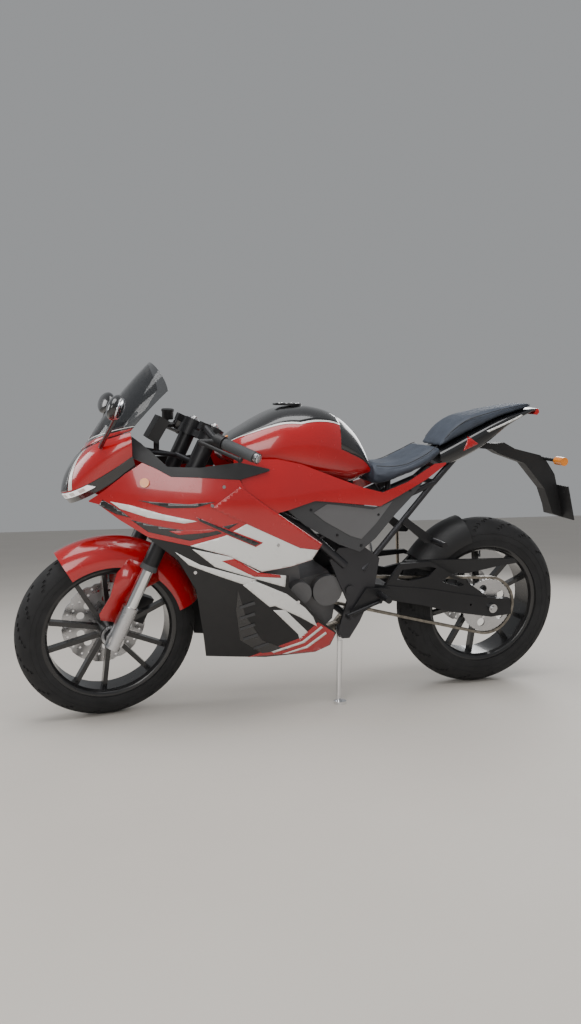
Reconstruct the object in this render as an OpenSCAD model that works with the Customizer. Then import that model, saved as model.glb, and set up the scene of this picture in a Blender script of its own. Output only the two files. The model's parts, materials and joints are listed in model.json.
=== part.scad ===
// Faired sport motorcycle, parked on its side stand with the bars a little to the left.
// X runs forward, Y to the rider's left and Z up. Every piece is drawn upright and straight,
// steered about the fork's axis where it belongs to the front end, and then leaned as a whole.

/* [Stance] */
// Lean to the left on the side stand, in degrees
lean = 8; // [6:0.5:10]
// Steering angle at rest, positive to the left
steer_rest = 10; // [0:1:20]

/* [Wheels] */
// Centre of the wheelbase to the front axle
front_reach = 675; // [665:5:720]
// Centre of the wheelbase to the rear axle
rear_reach = 675; // [665:5:720]
// Front tyre radius
front_r = 293; // [288:1:297]
// Rear tyre radius
rear_r = 314; // [308:1:318]
// Front tyre half width, which is its crown's radius
front_crown = 55; // [50:1:58]
// Rear tyre half width, which is its crown's radius
rear_crown = 70; // [62:1:71]
// Radius of both rims at the bead
rim_r = 216; // [210:1:220]
// Number of spoke pairs in a wheel
spoke_pairs = 5; // [3:1:6]
// Width of one spoke
spoke_w = 15; // [10:1:20]

/* [Steering] */
// Rake of the fork from the vertical, in degrees
rake = 25; // [24:0.5:26]
// Trail on the ground
trail = 95; // [88:1:102]
// How far the bars turn to each side
steer_lock = 27; // [20:1:30]
// Half the distance between the fork legs
fork_half = 102; // [98:1:110]
// Outer radius of the upper fork tubes
fork_tube_r = 26; // [22:0.5:28]
// Radius of the bright lower fork tubes
stanchion_r = 20; // [17:0.5:21]
// Length of a fork leg above the axle
fork_len = 745; // [730:5:770]

/* [Brakes and drive] */
// Front brake disc radius
front_disc_r = 140; // [120:1:150]
// Rear brake disc radius
rear_disc_r = 110; // [100:1:118]
// Radius of the rear sprocket at the chain
sprocket_r = 101; // [88:1:108]
// Radius of both wheel axles
axle_r = 9; // [8:0.5:11]

/* [Bodywork] */
// Greatest half width of the fairing
fairing_w = 240; // [225:1:270]
// Thickness of the plastic panels
panel_t = 4; // [3:0.5:5]
// Greatest half width of the tank
tank_w = 166; // [140:1:172]
// Half width of the rider's seat
seat_w = 128; // [112:1:136]
// Half width of the passenger's seat
pillion_w = 92; // [80:1:100]

/* [Side stand] */
// Radius of the stand's leg
stand_r = 10; // [8:0.5:12]
// How far to the left the foot is placed
stand_foot_y = 147; // [140:1:165]

/* [Hidden] */
$fn = 48;

// Running clearances, seats and joins
fit = 0.3;
seat_gap = 0.6;

// Middle of the parked bike's box, which becomes the origin
centre_x = -24;
centre_y = 129;

// Steering axis: its foot on the ground and its direction, and the fork's offset ahead of it
steer_foot = [front_reach + trail, 0, 0];
steer_dir = [-sin(rake), 0, cos(rake)];
fork_offset = front_r * sin(rake) - trail * cos(rake);

// Parking: the pitch and the lift that put both tyres on the floor
function about(v, k, a) = v * cos(a) + cross(k, v) * sin(a) + k * (k * v) * (1 - cos(a));
function steer_point(p) = steer_foot + about(p - steer_foot, steer_dir, steer_rest);
function leaned(v, pitch) = about(about(v, [1, 0, 0], -lean), [0, 1, 0], pitch);
function lowest(c, a, r, crown) = c.z - (r - crown) * sqrt(1 - a.z * a.z) - crown;
function front_low(pitch) = lowest(leaned(steer_point([front_reach, 0, front_r]), pitch),
    leaned(about([0, 1, 0], steer_dir, steer_rest), pitch), front_r, front_crown);
function rear_low(pitch) = lowest(leaned([-rear_reach, 0, rear_r], pitch),
    leaned([0, 1, 0], pitch), rear_r, rear_crown);
function settled(pitch, n) = n == 0 ? pitch
    : settled(pitch + atan2(front_low(pitch) - rear_low(pitch), front_reach + rear_reach), n - 1);
park_pitch = settled(0, 6);
park_lift = -rear_low(park_pitch);
park_shift = [-centre_x, -centre_y, park_lift];
function parked(p) = leaned(p, park_pitch) + park_shift;

module bike() translate(park_shift) rotate([-lean, park_pitch, 0]) children();
module steered() bike() translate(steer_foot) rotate(a = steer_rest, v = steer_dir)
    translate(-steer_foot) children();
// Fork frame: origin on the axle, Z up the fork, X ahead of it
module forked() steered() translate([front_reach, 0, front_r]) rotate([0, -rake, 0]) children();
// Wheel frames: origin at the wheel's middle, Z along the axle to the left, Y down
module front_wheel() steered() translate([front_reach, 0, front_r]) rotate([-90, 0, 0]) children();
module rear_wheel() bike() translate([-rear_reach, 0, rear_r]) rotate([-90, 0, 0]) children();
module mirrored() {
    children();
    mirror([0, 1, 0]) children();
}

// A smooth curve through a list of [x, value] points, rising in x
function seg(x, p, i) = i >= len(p) - 2 || x <= p[i + 1].x ? i : seg(x, p, i + 1);
function secant(p, i) = (p[i + 1].y - p[i].y) / (p[i + 1].x - p[i].x);
function slope(p, i) = i == 0 ? secant(p, 0) : i == len(p) - 1 ? secant(p, i - 1)
    : (secant(p, i - 1) + secant(p, i)) / 2;
function curve(x, p) = let (i = seg(x, p, 0), h = p[i + 1].x - p[i].x,
        t = min(1, max(0, (x - p[i].x) / h)), u = 1 - t)
    p[i].y * (1 + 2 * t) * u * u + p[i + 1].y * t * t * (3 - 2 * t)
    + h * t * u * (slope(p, i) * u - slope(p, i + 1) * t);
function mix(a, b, t) = a + (b - a) * t;
function powered(v, p) = sign(v) * pow(abs(v), p);

// Straight round bars, and a run of them
module strut(a, b, r) {
    v = b - a;
    translate(a) rotate([0, acos(v.z / norm(v)), atan2(v.y, v.x)]) cylinder(h = norm(v), r = r);
}
// How far past a corner a bar of radius r goes so that the corner closes
function past(points, i, r) = i == 0 || i == len(points) - 1 ? 0
    : let (u = points[i] - points[i - 1], v = points[i + 1] - points[i])
    1.1 * r * tan(acos(min(1, u * v / (norm(u) * norm(v)))) / 2);
module run(points, r) for (i = [0 : len(points) - 2]) {
    a = points[i];
    b = points[i + 1];
    d = (b - a) / norm(b - a);
    // Every other bar is a little thinner, so that two bars never share one surface
    strut(a - d * past(points, i, r), b + d * past(points, i + 1, r), r * (i % 2 == 0 ? 1 : 0.97));
}
// A flat plate with its outline in the XZ plane, from y0 to y1
module plate(points, y0, y1) {
    translate([0, y1, 0]) rotate([90, 0, 0]) linear_extrude(y1 - y0) polygon(points);
}
// A pin along Y
module pin(x, z, y0, y1, r) translate([x, y0, z]) rotate([-90, 0, 0]) cylinder(h = y1 - y0, r = r);

// A solid from rings of points that lie one behind the other, from the front to the back
module loft(rings) {
    n = len(rings[0]);
    m = len(rings);
    polyhedron(points = [for (r = rings) each r], faces = concat(
        [[for (j = [n - 1 : -1 : 0]) j]],
        [for (i = [0 : m - 2], j = [0 : n - 1]) each let (k = (j + 1) % n)
            [[i * n + j, i * n + k, i * n + n + j], [i * n + k, i * n + n + k, i * n + n + j]]],
        [[for (j = [0 : n - 1]) (m - 1) * n + j]]));
}
// A cross section in the plane at x: its foot, waist and top, half width and squareness
function section(x, foot, waist, top, w, p) = [for (a = [0 : 15 : 345])
    [x, w * powered(cos(a), p), waist + (a < 180 ? top - waist : waist - foot) * powered(sin(a), p)]];

// A thin sheet between two grids of points with the same number of rows and columns
module sheet(outer, inner) {
    m = len(outer);
    n = len(outer[0]);
    s = m * n;
    polyhedron(points = concat([for (r = outer) each r], [for (r = inner) each r]), faces = concat(
        [for (i = [0 : m - 2], j = [0 : n - 2]) each let (a = i * n + j)
            [[a, a + n, a + 1], [a + 1, a + n, a + n + 1],
            [s + a, s + a + 1, s + a + n], [s + a + 1, s + a + n + 1, s + a + n]]],
        [for (j = [0 : n - 2]) each let (a = j, b = (m - 1) * n + j)
            [[a, a + 1, s + a], [a + 1, s + a + 1, s + a], [b, s + b, b + 1], [b + 1, s + b, s + b + 1]]],
        [for (i = [0 : m - 2]) each let (a = i * n, b = i * n + n - 1)
            [[a, s + a, a + n], [a + n, s + a, s + a + n],
            [b, b + n, s + b], [b + n, s + b + n, s + b]]]));
}
// Places along X where a panel's edges have corners, with more in between
function sorted(v) = len(v) < 2 ? v : let (p = v[0])
    concat(sorted([for (x = v) if (x < p) x]), [p], sorted([for (x = v) if (x > p) x]));
function stations(hi, lo, step) = let (v = sorted([for (p = concat(hi, lo)) p.x]))
    concat([for (i = [0 : len(v) - 2]) each let (k = max(1, round((v[i + 1] - v[i]) / step)))
        [for (j = [0 : k - 1]) mix(v[i], v[i + 1], j / k)]], [v[len(v) - 1]]);
// A body panel between a lower and an upper edge, bent to the half width f(x, z)
module panel(hi, lo, f, rows = 6, step = 40, t = panel_t) {
    xs = stations(hi, lo, step);
    function at(x, k) = mix(lookup(x, lo), lookup(x, hi), k / rows);
    sheet([for (x = xs) [for (k = [0 : rows]) [x, f(x, at(x, k)), at(x, k)]]],
        [for (x = xs) [for (k = [0 : rows]) [x, f(x, at(x, k)) - t, at(x, k)]]]);
}

// Half width of the fairing, and of the panels under the tank and the seat
function fairing_y(x, z) = fairing_w
    * (x > 260 ? sqrt(max(0.01, 1 - pow((x - 260) / 510, 2))) : 1 - 0.00000085 * pow(260 - x, 2))
    * (z > 700 ? 1 - pow((z - 700) / 430, 2) : 1 - pow((700 - z) / 700, 2));
side_plan = [[-480, 116], [-400, 128], [-316, 140], [-211, 152], [-60, 168], [60, 196], [163, 228],
    [320, 232]];
function side_y(x, z) = fairing_w / 240 * curve(x, side_plan) * (z > 700 ? 1 - pow((z - 700) / 430, 2) : 1);
function cover_y(x, z) = side_y(x, z) - 12;
fairing = function (x, z) fairing_y(x, z);
side = function (x, z) side_y(x, z);
cover = function (x, z) cover_y(x, z);
// The way out of a panel's face, and a place at some depth under that face
function way_out(f, x, z) = let (v = [f(x - 1, z) - f(x + 1, z), 2, f(x, z - 1) - f(x, z + 1)]) v / norm(v);
function under(f, x, z, depth) = [x, f(x, z), z] - way_out(f, x, z) * depth;
// Puts its children on a panel's outer face, with Z along the way out of it
module on_panel(f, x, z) {
    out = way_out(f, x, z);
    translate([x, f(x, z), z]) rotate([0, acos(out.z), atan2(out.y, out.x)]) children();
}
// A bar from the frame to a boss that just clears a panel's inner face
module stay(from, f, x, z) {
    strut(from, under(f, x, z, panel_t + 9), 7);
    on_panel(f, x, z) translate([0, 0, -panel_t - seat_gap - 12]) cylinder(h = 12, r = 9);
}

// Chassis ------------------------------------------------------------------------------------

pivot = [-120, 0, 415];
head_low = steer_foot + steer_dir * 838;
head_high = steer_foot + steer_dir * 993;
head_r = 30;
stem_r = 15;
stand_pivot = [-98, 105, 267];
plate_y = [122, 132];

// Shock absorber's upper and lower eyes
shock_top = [-186, 0, 682];
shock_foot = [-238, 0, 442];
shock_pin_r = 6;
// Radiator's middle and tilt
core = [358, 0, 540];
core_tilt = 12;
core_t = 28;
module lug(at, y0, y1) plate([[at.x - 16, at.z - 34], [at.x + 12, at.z - 34], [at.x + 12, at.z + 6],
    [at.x, at.z + 13], [at.x - 12, at.z + 6]], y0, y1);

// A post at x whose pad just clears the foot of the tank or of the seat
module post(x, z, foot, above) translate([x, 0, z])
    cylinder(h = min(curve(x - 10, foot), curve(x + 10, foot)) + above - seat_gap - z, r = 10);

// Rail under the seats on the left, and the bar between the rails' ends
rail_r = 11;
seat_rail = [[-440, 78, 770], [-560, 52, 885], [-700, 44, 968]];
tail_bar = [-690, 46, 962];
function mirror_y(p) = [p.x, -p.y, p.z];

module frame() color("dimgray") bike() {
    difference() {
        union() {
            strut(head_low, head_high, head_r);
            strut([385, 0, 835], [452, 0, 866], 9);
            strut([512, -42, 873], [512, 42, 873], 6);
            mirrored() {
                run([[375, 20, 800], [250, 118, 740], [60, 128, 640], [-100, 127, 500]], 15);
                run([[395, 18, 765], [300, 95, 640], [240, 110, 560]], 11);
                run([[60, 128, 640], [-150, 100, 650], each seat_rail], rail_r);
                run([[-165, 127, 480], [-300, 100, 620], [-440, 78, 770]], 10);
                run([[445, 0, 863], [560, 66, 880], [616, 100, 884]], 7);
                plate([[-75, 560], [-45, 520], [-112, 375], [-84, 272], [-98, 244], [-125, 244], [-160, 300],
                    [-208, 406], [-224, 520], [-170, 560]], plate_y[0], plate_y[1]);
                // Stays that carry the panels
                stay([310, 73, 768], fairing, 335, 786);
                stay([243, 109, 566], fairing, 165, 594);
                stay([250, 106, 574], fairing, 230, 470);
                stay([0, 127, 588], cover, -40, 625);
                stay([-190, 104, 660], cover, -200, 668);
                stay([-312, 87, 718], side, -300, 760);
                stay([60, 126, 640], side, 40, 760);
                // Radiator stay
                rotate_at(core, core_tilt) translate([-70, 102, 85]) rotate([0, 90, 0])
                    cylinder(h = 70 - core_t / 2 - fit, r = 7);
            }
            // Posts under the tank and the seat
            strut([150, -120, 690], [150, 120, 690], 11);
            post(150, 690, tank_foot, 0);
            strut([-150, -100, 650], [-150, 100, 650], 12);
            post(-158, 650, tank_foot, 0);
            strut([-300, -89, 712], [-300, 89, 712], 10);
            post(-300, 712, rider_foot, 3);
            strut([-140, -125, 300], [-140, 125, 300], 12);
            strut([-440, -78, 770], [-440, 78, 770], 10);
            strut(tail_bar, mirror_y(tail_bar), 9);
            // Lugs and pin for the shock absorber
            for (s = [-1, 1]) plate([[-140, 640], [shock_top.x + 16, shock_top.z + 6],
                [shock_top.x, shock_top.z + 14],
                [shock_top.x - 14, shock_top.z], [-165, 640]], s * 26 - 4, s * 26 + 4);
            pin(shock_top.x, shock_top.z, -30, 30, shock_pin_r - fit);
            // Lug and pin that carry the side stand
            stand_hinge() {
                plate([[14, -14], [14, 21], [-34, 21], [-27, -14]], 7, 24);
                pin(0, 0, -13, 19, 7);
                pin(0, 0, -13, -8, 12);
            }
        }
        strut(head_low - steer_dir, head_high + steer_dir, stem_r + fit);
        pin(pivot.x, pivot.z, -140, 140, 9 + fit);
    }
    // Pivot bolt
    pin(pivot.x, pivot.z, -plate_y[1] - 8, plate_y[1] + 8, 9);
    for (s = [-1, 1]) pin(pivot.x, pivot.z, s * 136.2 - 4, s * 136.2 + 4, 16);
}

module engine() color("dimgray") bike() {
    difference() {
        union() {
            plate([[-80, 300], [-40, 262], [150, 250], [215, 300], [210, 400], [60, 440], [-60, 470],
                [-95, 400]],
                -108, 74);
            plate([[40, 430], [200, 395], [265, 470], [265, 560], [240, 640], [150, 670],
                [60, 560]], -86, 86);
            pin(130, 350, 74, 138, 74);
            pin(52, 410, 74, 128, 38);
            pin(110, 365, -134, -108, 72);
            pin(-20, 360, -118, -108, 50);
            // Cover over the front sprocket, and the sprocket on its shaft
            pin(front_sprocket.x, front_sprocket.y, 97, 120, 52);
            pin(front_sprocket.x, front_sprocket.y, 70, 98, 16);
            pin(front_sprocket.x, front_sprocket.y, 80, 88, front_sprocket_r - 1 - seat_gap);
            // Mounting ears
            mirrored() strut([150, 78, 640], [193, 105, 685], 9);
        }
        pin(130, 350, 130, 139, 56);
    }
}

module radiator() color("#202224") bike() rotate_at(core, core_tilt) {
    translate([-core_t / 2, -145, -110]) cube([core_t, 290, 215]);
    translate([-core_t / 2 - 18, -80, -60]) cube([18, 160, 130]);
}
module rotate_at(p, a) translate(p) rotate([0, a, 0]) children();

module exhaust() color("silver") bike() {
    for (s = [-1, 1]) {
        run([[273, s * 45, 498], [292, s * 45, 490], [303, s * 45, 430], [300, s * 45, 330],
            [262, s * 38, 232],
            [200, s * 22, 216]], 16);
        pipe_flange(s * 45);
    }
    translate([182, -42, 194]) cube([36, 84, 42]);
    run([[190, 0, 214], [80, -30, 212], [-90, -78, 205], [-165, -122, 208], [-235, -168, 262],
        [-300, -188, 300]], 20);
    strut([-290, -186, 296], [-330, -196, 315], 34);
    strut([-325, -195, 312], [-650, -205, 430], 54);
    strut([-648, -205, 429], [-680, -206, 441], 38);
    // Strap to the passenger's foot bracket
    strut([-440, -190, 395], [-398, -123, 580], 6);
}
module pipe_flange(y) translate([265 + fit, y, 498]) rotate([0, 90, 0]) cylinder(h = 7, r = 24);

module rear_axle() color("silver") bike() {
    pin(-rear_reach, rear_r, -138, 138, axle_r);
    pin(-rear_reach, rear_r, 120 + fit, 132, 16);
    pin(-rear_reach, rear_r, -132, -120 - fit, 16);
    difference() {
        union() {
            plate([[-rear_reach + 30, rear_r + 72], [-rear_reach + 118, rear_r + 64],
                [-rear_reach + 138, rear_r + 86], [-rear_reach + 90, rear_r + 128],
                [-rear_reach + 40, rear_r + 124]], -100, -64);
            plate([[-rear_reach - 20, rear_r - 20], [-rear_reach + 20, rear_r - 20],
                [-rear_reach + 80, rear_r + 75], [-rear_reach + 35, rear_r + 80],
                    [-rear_reach - 20, rear_r + 20]],
                -95.6, -91.4);
        }
        pin(-rear_reach, rear_r, -91.1, -76.2, rear_disc_r + 6);
    }
}

arm_y = [96, 120];
// Where a workshop stand's bobbins screw into the swingarm, as [x, z]
bobbin = [-590, 330];

module swingarm() color("#1c1c1e") bike() {
    difference() {
        union() {
            pin(pivot.x, pivot.z, -arm_y[1] + 0.5, arm_y[1] - 0.5, 19);
            mirrored() {
                plate([[-98, 405], [-98, 428], [-130, 440], [-260, 418], [-423, 397], [-582, 366],
                    [-rear_reach - 20, 347], [-rear_reach - 75, 344], [-rear_reach - 82, 286],
                    [-rear_reach, 280], [-506, 310], [-407, 338], [-250, 370],
                        [-130, 392]], arm_y[0], arm_y[1]);
                plate([[-252, 412], [-312, 492], [-425, 494], [-583, 408], [-663, 350], [-600, 352],
                    [-440, 392]], arm_y[0] + 6, arm_y[1] - 4);
            }
            plate([[-215, 416], [-200, 385], [-300, 352], [-325, 385], [-290, 408]], -arm_y[0] - 2, 72);
            plate([[-215, 412], [-200, 385], [-300, 362], [-318, 385]], 70, arm_y[0] + 2);
            for (s = [-1, 1]) lug(shock_foot, s * 26 - 4, s * 26 + 4);
            pin(shock_foot.x, shock_foot.z, -30, 30, shock_pin_r - fit);
        }
        mirrored() {
            plate([[-318, 470], [-300, 438], [-350, 428], [-420, 442], [-448, 470], [-420, 478]],
                arm_y[0] - 1, arm_y[1] + 1);
            plate([[-470, 420], [-500, 440], [-560, 405], [-540, 398]], arm_y[0] - 1, arm_y[1] + 1);
        }
        pin(pivot.x, pivot.z, -140, 140, 9 + fit);
        pin(-rear_reach, rear_r, -140, 140, axle_r + fit);
        // Threaded holes for the bobbins of a workshop stand
        mirrored() pin(bobbin.x, bobbin.y, arm_y[1] - 16, arm_y[1] + 1, 4);
    }
}

chain_y = [77, 91];
front_sprocket = [-45, 412];
front_sprocket_r = 38;
// The belt that a chain fills round two sprockets, at a distance off their pitch circles
module belt(off) hull() {
    translate([-rear_reach, rear_r]) circle(sprocket_r + off, $fn = 96);
    translate(front_sprocket) circle(front_sprocket_r + off);
}
module chain() color("#8a8a86") bike() translate([0, chain_y[1], 0]) rotate([90, 0, 0])
    linear_extrude(chain_y[1] - chain_y[0]) difference() {
        belt(8);
        belt(-1);
    }

module rear_guards() color("#1c1c1e") bike() {
    // Guard over the upper run of the chain, with its tab on the swingarm
    plate([[-330, 480], [-340, 496], [-773, 486], [-790, 470], [-705, 460], [-586, 440],
        [-480, 444]], 76, 92);
    plate([[-335, 480], [-340, 494], [-420, 493], [-420, 480]], 76, arm_y[0] + 6 - fit);
    // Hugger ahead of the tyre
    intersection() {
        translate([-rear_reach, 0, rear_r]) rotate([90, 0, 0]) rotate_extrude() difference() {
            translate([rear_r - rear_crown + 12, 0]) circle(rear_crown + 10);
            translate([rear_r - rear_crown + 12, 0]) circle(rear_crown + 6.5);
            translate([0, -100]) square([rear_r - 70, 200]);
        }
        plate([[-rear_reach, rear_r], [-560, 700], [-300, 700], [-300, 560]], -90, 90);
    }
}

module rear_shock() color("goldenrod") bike() difference() {
    union() {
        strut(shock_top, shock_foot, 11);
        strut(mix(shock_top, shock_foot, 0.14), mix(shock_top, shock_foot, 0.82), 30);
        pin(shock_top.x, shock_top.z, -21, 21, 13);
        pin(shock_foot.x, shock_foot.z, -21, 21, 13);
    }
    pin(shock_top.x, shock_top.z, -31, 31, shock_pin_r);
    pin(shock_foot.x, shock_foot.z, -31, 31, shock_pin_r);
}

// Bodywork -----------------------------------------------------------------------------------

tank_top = [[-206, 838], [-190, 880], [-163, 927], [-125, 968], [-70, 1005], [12, 1027], [60, 1027],
    [120, 1017],
    [167, 996], [224, 963], [288, 920], [304, 900]];
tank_foot = [[-206, 800], [-138, 770], [-61, 775], [76, 790], [200, 800], [304, 850]];
tank_half = [[-206, 62], [-170, 78], [-100, 112], [-20, 145], [80, 166], [180, 160], [260, 132], [304, 96]];
cap = [70, 0, 1026];
cap_r = 44;
cap_h = 7;
module tank() color("firebrick") bike() {
    difference() {
        union() {
            loft([for (x = [304, 296, 280, 250, 215, 180, 145, 110, 75, 40, 5, -30, -65, -95, -125,
                -150, -170,
                    -188, -200, -206])
                let (top = curve(x, tank_top), foot = curve(x, tank_foot))
                section(x, foot, mix(foot, top, 0.36), top, tank_w / 166 * curve(x, tank_half), 0.72)]);
            translate(cap - [0, 0, 26]) cylinder(h = 28, r = cap_r + 4);
        }
        translate(cap - [0, 0, 30]) cylinder(h = 40, r = 21);
        // Notches that let the upper clamp turn to its stops
        for (s = [-1, 1]) translate(steer_foot) rotate(a = s * steer_lock,
            v = steer_dir) translate(-steer_foot)
            translate([front_reach, 0, front_r]) rotate([0, -rake, 0])
            translate([0, s * fork_half, high_clamp - 8]) cylinder(h = 110, r = fork_tube_r + 15);
    }
}
module fuel_cap() color("#222224") bike() translate(cap + [0, 0, 2 + fit]) {
    cylinder(h = cap_h, r = cap_r);
    translate([cap_r - 4, -14, 0]) cube([10, 28, cap_h - 1]);
    pin(cap_r + 6, 3, -14, 14, 3);
}

rider_top = [[-452, 905], [-435, 902], [-400, 882], [-372, 868], [-317, 844], [-261, 837],
    [-200, 841], [-176, 838], [-160, 822]];
rider_foot = [[-452, 868], [-419, 842], [-325, 798], [-224, 762], [-176, 766], [-160, 774]];
rider_half = [[-452, 100], [-400, 122], [-330, 128], [-260, 112], [-200, 88], [-160, 76]];
module rider_seat() color("slategray") bike() loft([for (x = [-210, -220, -240, -262, -285, -308, -330, -352,
        -374, -396, -416, -434, -446, -452])
    let (top = curve(x, rider_top), foot = curve(x, rider_foot) + 3)
    section(x, foot, mix(foot, top, 0.45), top, seat_w / 128 * curve(x, rider_half), 0.55)]);

pillion_top = [[-840, 1046], [-815, 1047], [-726, 1036], [-627, 1017], [-541, 990], [-500, 957],
    [-475, 925], [-458, 900]];
pillion_foot = [[-840, 1032], [-796, 1023], [-697, 998], [-575, 946], [-477, 896], [-458, 886]];
pillion_half = [[-840, 38], [-815, 50], [-726, 74], [-627, 88], [-541, 92], [-475, 84], [-458, 78]];
module pillion_seat() color("slategray") bike() loft([for (x = [-460, -470, -485, -505, -525, -550, -580,
        -615, -650, -690, -730, -770, -805, -828, -840])
    let (top = curve(x, pillion_top), foot = curve(x, pillion_foot))
    section(x, foot, mix(foot, top, 0.4), top, pillion_w / 92 * curve(x, pillion_half), 0.6)]);

tail_top = [[-858, 1030], [-840, 1031], [-796, 1021], [-697, 996], [-575, 944], [-477, 892], [-400, 850]];
tail_foot = [[-858, 1022], [-825, 1012], [-723, 962], [-647, 905], [-597, 873], [-472, 822], [-400, 812]];
tail_half = [[-858, 34], [-825, 50], [-726, 76], [-627, 88], [-541, 92], [-470, 90], [-400, 88]];
module tail_cowl() color("#18181a") bike() difference() {
    loft([for (x = [-456, -500, -545, -590, -640, -690, -740, -790, -825, -845, -858])
        let (top = curve(x, tail_top), foot = curve(x, tail_foot))
        section(x, foot, mix(foot, top, 0.55), top, curve(x, tail_half), 0.5)]);
    mirrored() run([each seat_rail, seat_rail[2] + [-8, 0, 5]], rail_r + seat_gap);
    strut(tail_bar, mirror_y(tail_bar), 9 + seat_gap);
}

module tail_light() color("red") bike() {
    plate([[-858 - fit, 1028], [-858 - fit, 1018], [-850, 1008], [-866, 1006], [-874, 1016],
        [-870, 1028]], -32, 32);
}

// The number plate's two screw holes
plate_hole_y = 62;
plate_hole_z = 105;

module plate_hanger() color("#1a1a1c") bike() {
    plate([[-628, curve(-628, tail_foot) - 1], [-650, curve(-650, tail_foot) - 1], [-706, 900],
        [-740, 905], [-787, 882], [-895, 858], [-924, 836], [-962, 787],
        [-1013, 632], [-1011, 622], [-967, 636], [-924, 732], [-878, 780], [-832, 828], [-727, 862],
        [-692, 880], [-640, 884]], -26, 26);
    rotate_plate() difference() {
        translate([-4, -95, 0]) cube([4, 190, 130]);
        for (s = [-1, 1]) translate([-5, s * plate_hole_y, plate_hole_z]) rotate([0, 90,
            0]) cylinder(h = 6, r = 3);
    }
    pin(-915, 845, -100, 100, 6);
}
module rotate_plate() translate([-1010, 0, 622]) rotate([0, 16, 0]) children();

side_lamp = [567, 796];
module turn_signals() color("orange") bike() mirrored() {
    translate([-915, 100 + fit, 845]) rotate([-90, 0, 0]) cylinder(h = 46, r = 15);
    on_panel(fairing, side_lamp.x, side_lamp.y) translate([0, 0, 2 * fit]) cylinder(h = 8, r = 14);
}

side_hi = [[-470, 842], [-424, 838], [-316, 780], [-220, 748], [-148, 766], [-61, 797], [76, 848], [160, 866],
    [300, 866]];
side_lo = [[-470, 836], [-390, 787], [-282, 735], [-211, 702], [-90, 716], [28, 730], [119, 709], [163, 701],
    [199, 724], [270, 777], [282, 807], [300, 845]];
module side_panels() color("firebrick") bike() mirrored() panel(side_hi, side_lo, side, 4, 45);

cover_hi = [[-383, 783], [-275, 730], [-205, 698], [33, 729], [123, 707]];
cover_lo = [[-383, 779], [-348, 739], [-278, 673], [-202, 590], [-146, 548], [-68, 578], [62, 652],
    [123, 703]];
module frame_covers() color("#3a3d42") bike() mirrored() panel(cover_hi, cover_lo, cover, 4, 45);

upper_hi = [[14, 598], [163, 700], [199, 723], [270, 776], [285, 806], [406, 813], [491, 815], [534, 838],
    [573, 855], [623, 821], [682, 770], [729, 733]];
upper_lo = [[14, 594], [46, 545], [119, 526], [211, 514], [321, 572], [437, 606], [560, 632], [641, 681],
    [703, 725], [729, 729]];
module upper_fairings() color("firebrick") bike() mirrored() panel(upper_hi, upper_lo, fairing, 7, 40);

lower_hi = [[-75, 268], [-7, 324], [117, 453], [120, 495], [211, 513], [321, 571], [437, 605], [560, 631]];
lower_lo = [[-75, 264], [-61, 218], [-10, 195], [168, 193], [370, 216], [381, 280], [416, 462],
    [472, 561], [560, 628]];
module lower_fairings() color("#222326") bike() mirrored() panel(lower_hi, lower_lo, fairing, 7, 40);

// Front of the bike: sheets whose columns run round the nose, by the angle from straight ahead
fan = [for (a = [90 : -10 : -90]) a];
function nose_low(a) = [601 + 211 * cos(a), 160 * sin(a), 748 + 126 * pow(1 - cos(a), 1.2)];
function nose_high(a) = [606 + 136 * cos(a), 150 * sin(a), 876 + 71 * pow(1 - cos(a), 0.6)];
function screen_high(a) = [491 + 42 * cos(a), 140 * sin(a), 1070 + 88 * pow(cos(a), 0.7)];
function between(p, q, t, a, bulge) = mix(p, q, t) + bulge * 4 * t * (1 - t) * [cos(a), sin(a), 0.5];
module visor(low, high, bulge, t, from, to, rows) {
    sheet([for (a = fan) [for (k = [0 : rows])
            between(low(a), high(a), mix(from, to, k / rows), a, bulge)]],
        [for (a = fan) [for (k = [0 : rows])
            between(low(a), high(a), mix(from, to, k / rows), a, bulge) - t * [cos(a), sin(a), 0]]]);
}
module nose_cowl() color("firebrick") bike()
    visor(function (a) nose_low(a), function (a) nose_high(a), 14, panel_t, 0, 1, 6);
module windscreen() color("#30343890") bike()
    visor(function (a) nose_high(a), function (a) screen_high(a), 12, 3, 0.005, 1, 6);

function mask_low(a) = [590 + 195 * cos(a), 151.9 * powered(sin(a), 1.5), 712 + 128 * pow(1 - cos(a), 1.1)];
module headlight_mask() color("#161618") bike()
    visor(function (a) mask_low(a), function (a) nose_low(a), 0, panel_t, 0, 0.985, 4);
module headlights() color("white") bike() mirrored() {
    strip = [for (a = [56 : -8 : 8]) a];
    sheet([for (a = strip) [for (k = [0 : 3])
            between(mask_low(a), nose_low(a), mix(0.4, 0.85, k / 3), a, 0) + 5 * [cos(a), sin(a), 0]]],
        [for (a = strip) [for (k = [0 : 3])
            between(mask_low(a), nose_low(a), mix(0.4, 0.85, k / 3), a, 0) + 3 * fit * [cos(a), sin(a), 0]]]);
}

mirror_foot = between(nose_low(58), nose_high(58), 0.78, 58, 14) + [3, 4.6, 1.5];
module mirrors() color("#1a1a1c") bike() mirrored() {
    strut(mirror_foot, [655, 250, 990], 7);
    translate([655, 262, 1022]) rotate([0, -20, -14]) scale([0.35, 1, 0.62]) sphere(62);
}

// Black trim along the top of the fairing, tucked in toward the cockpit
function trim_y(x, z) = fairing_y(x, z) + 1.5 - 0.3 * max(0, z - 815) * min(1, max(0, (x - 290) / 60));
module cockpit_trim() color("#1e1f22") bike() mirrored()
    panel([[190, 838], [283, 858], [403, 842], [500, 844], [547, 890], [600, 930]],
        [[190, 832], [285, 806.8], [406, 813.8], [491, 815.8], [534, 838.8], [573, 855.8], [600, 868]],
        function (x, z) trim_y(x, z), 3, 40, 3);

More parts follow.
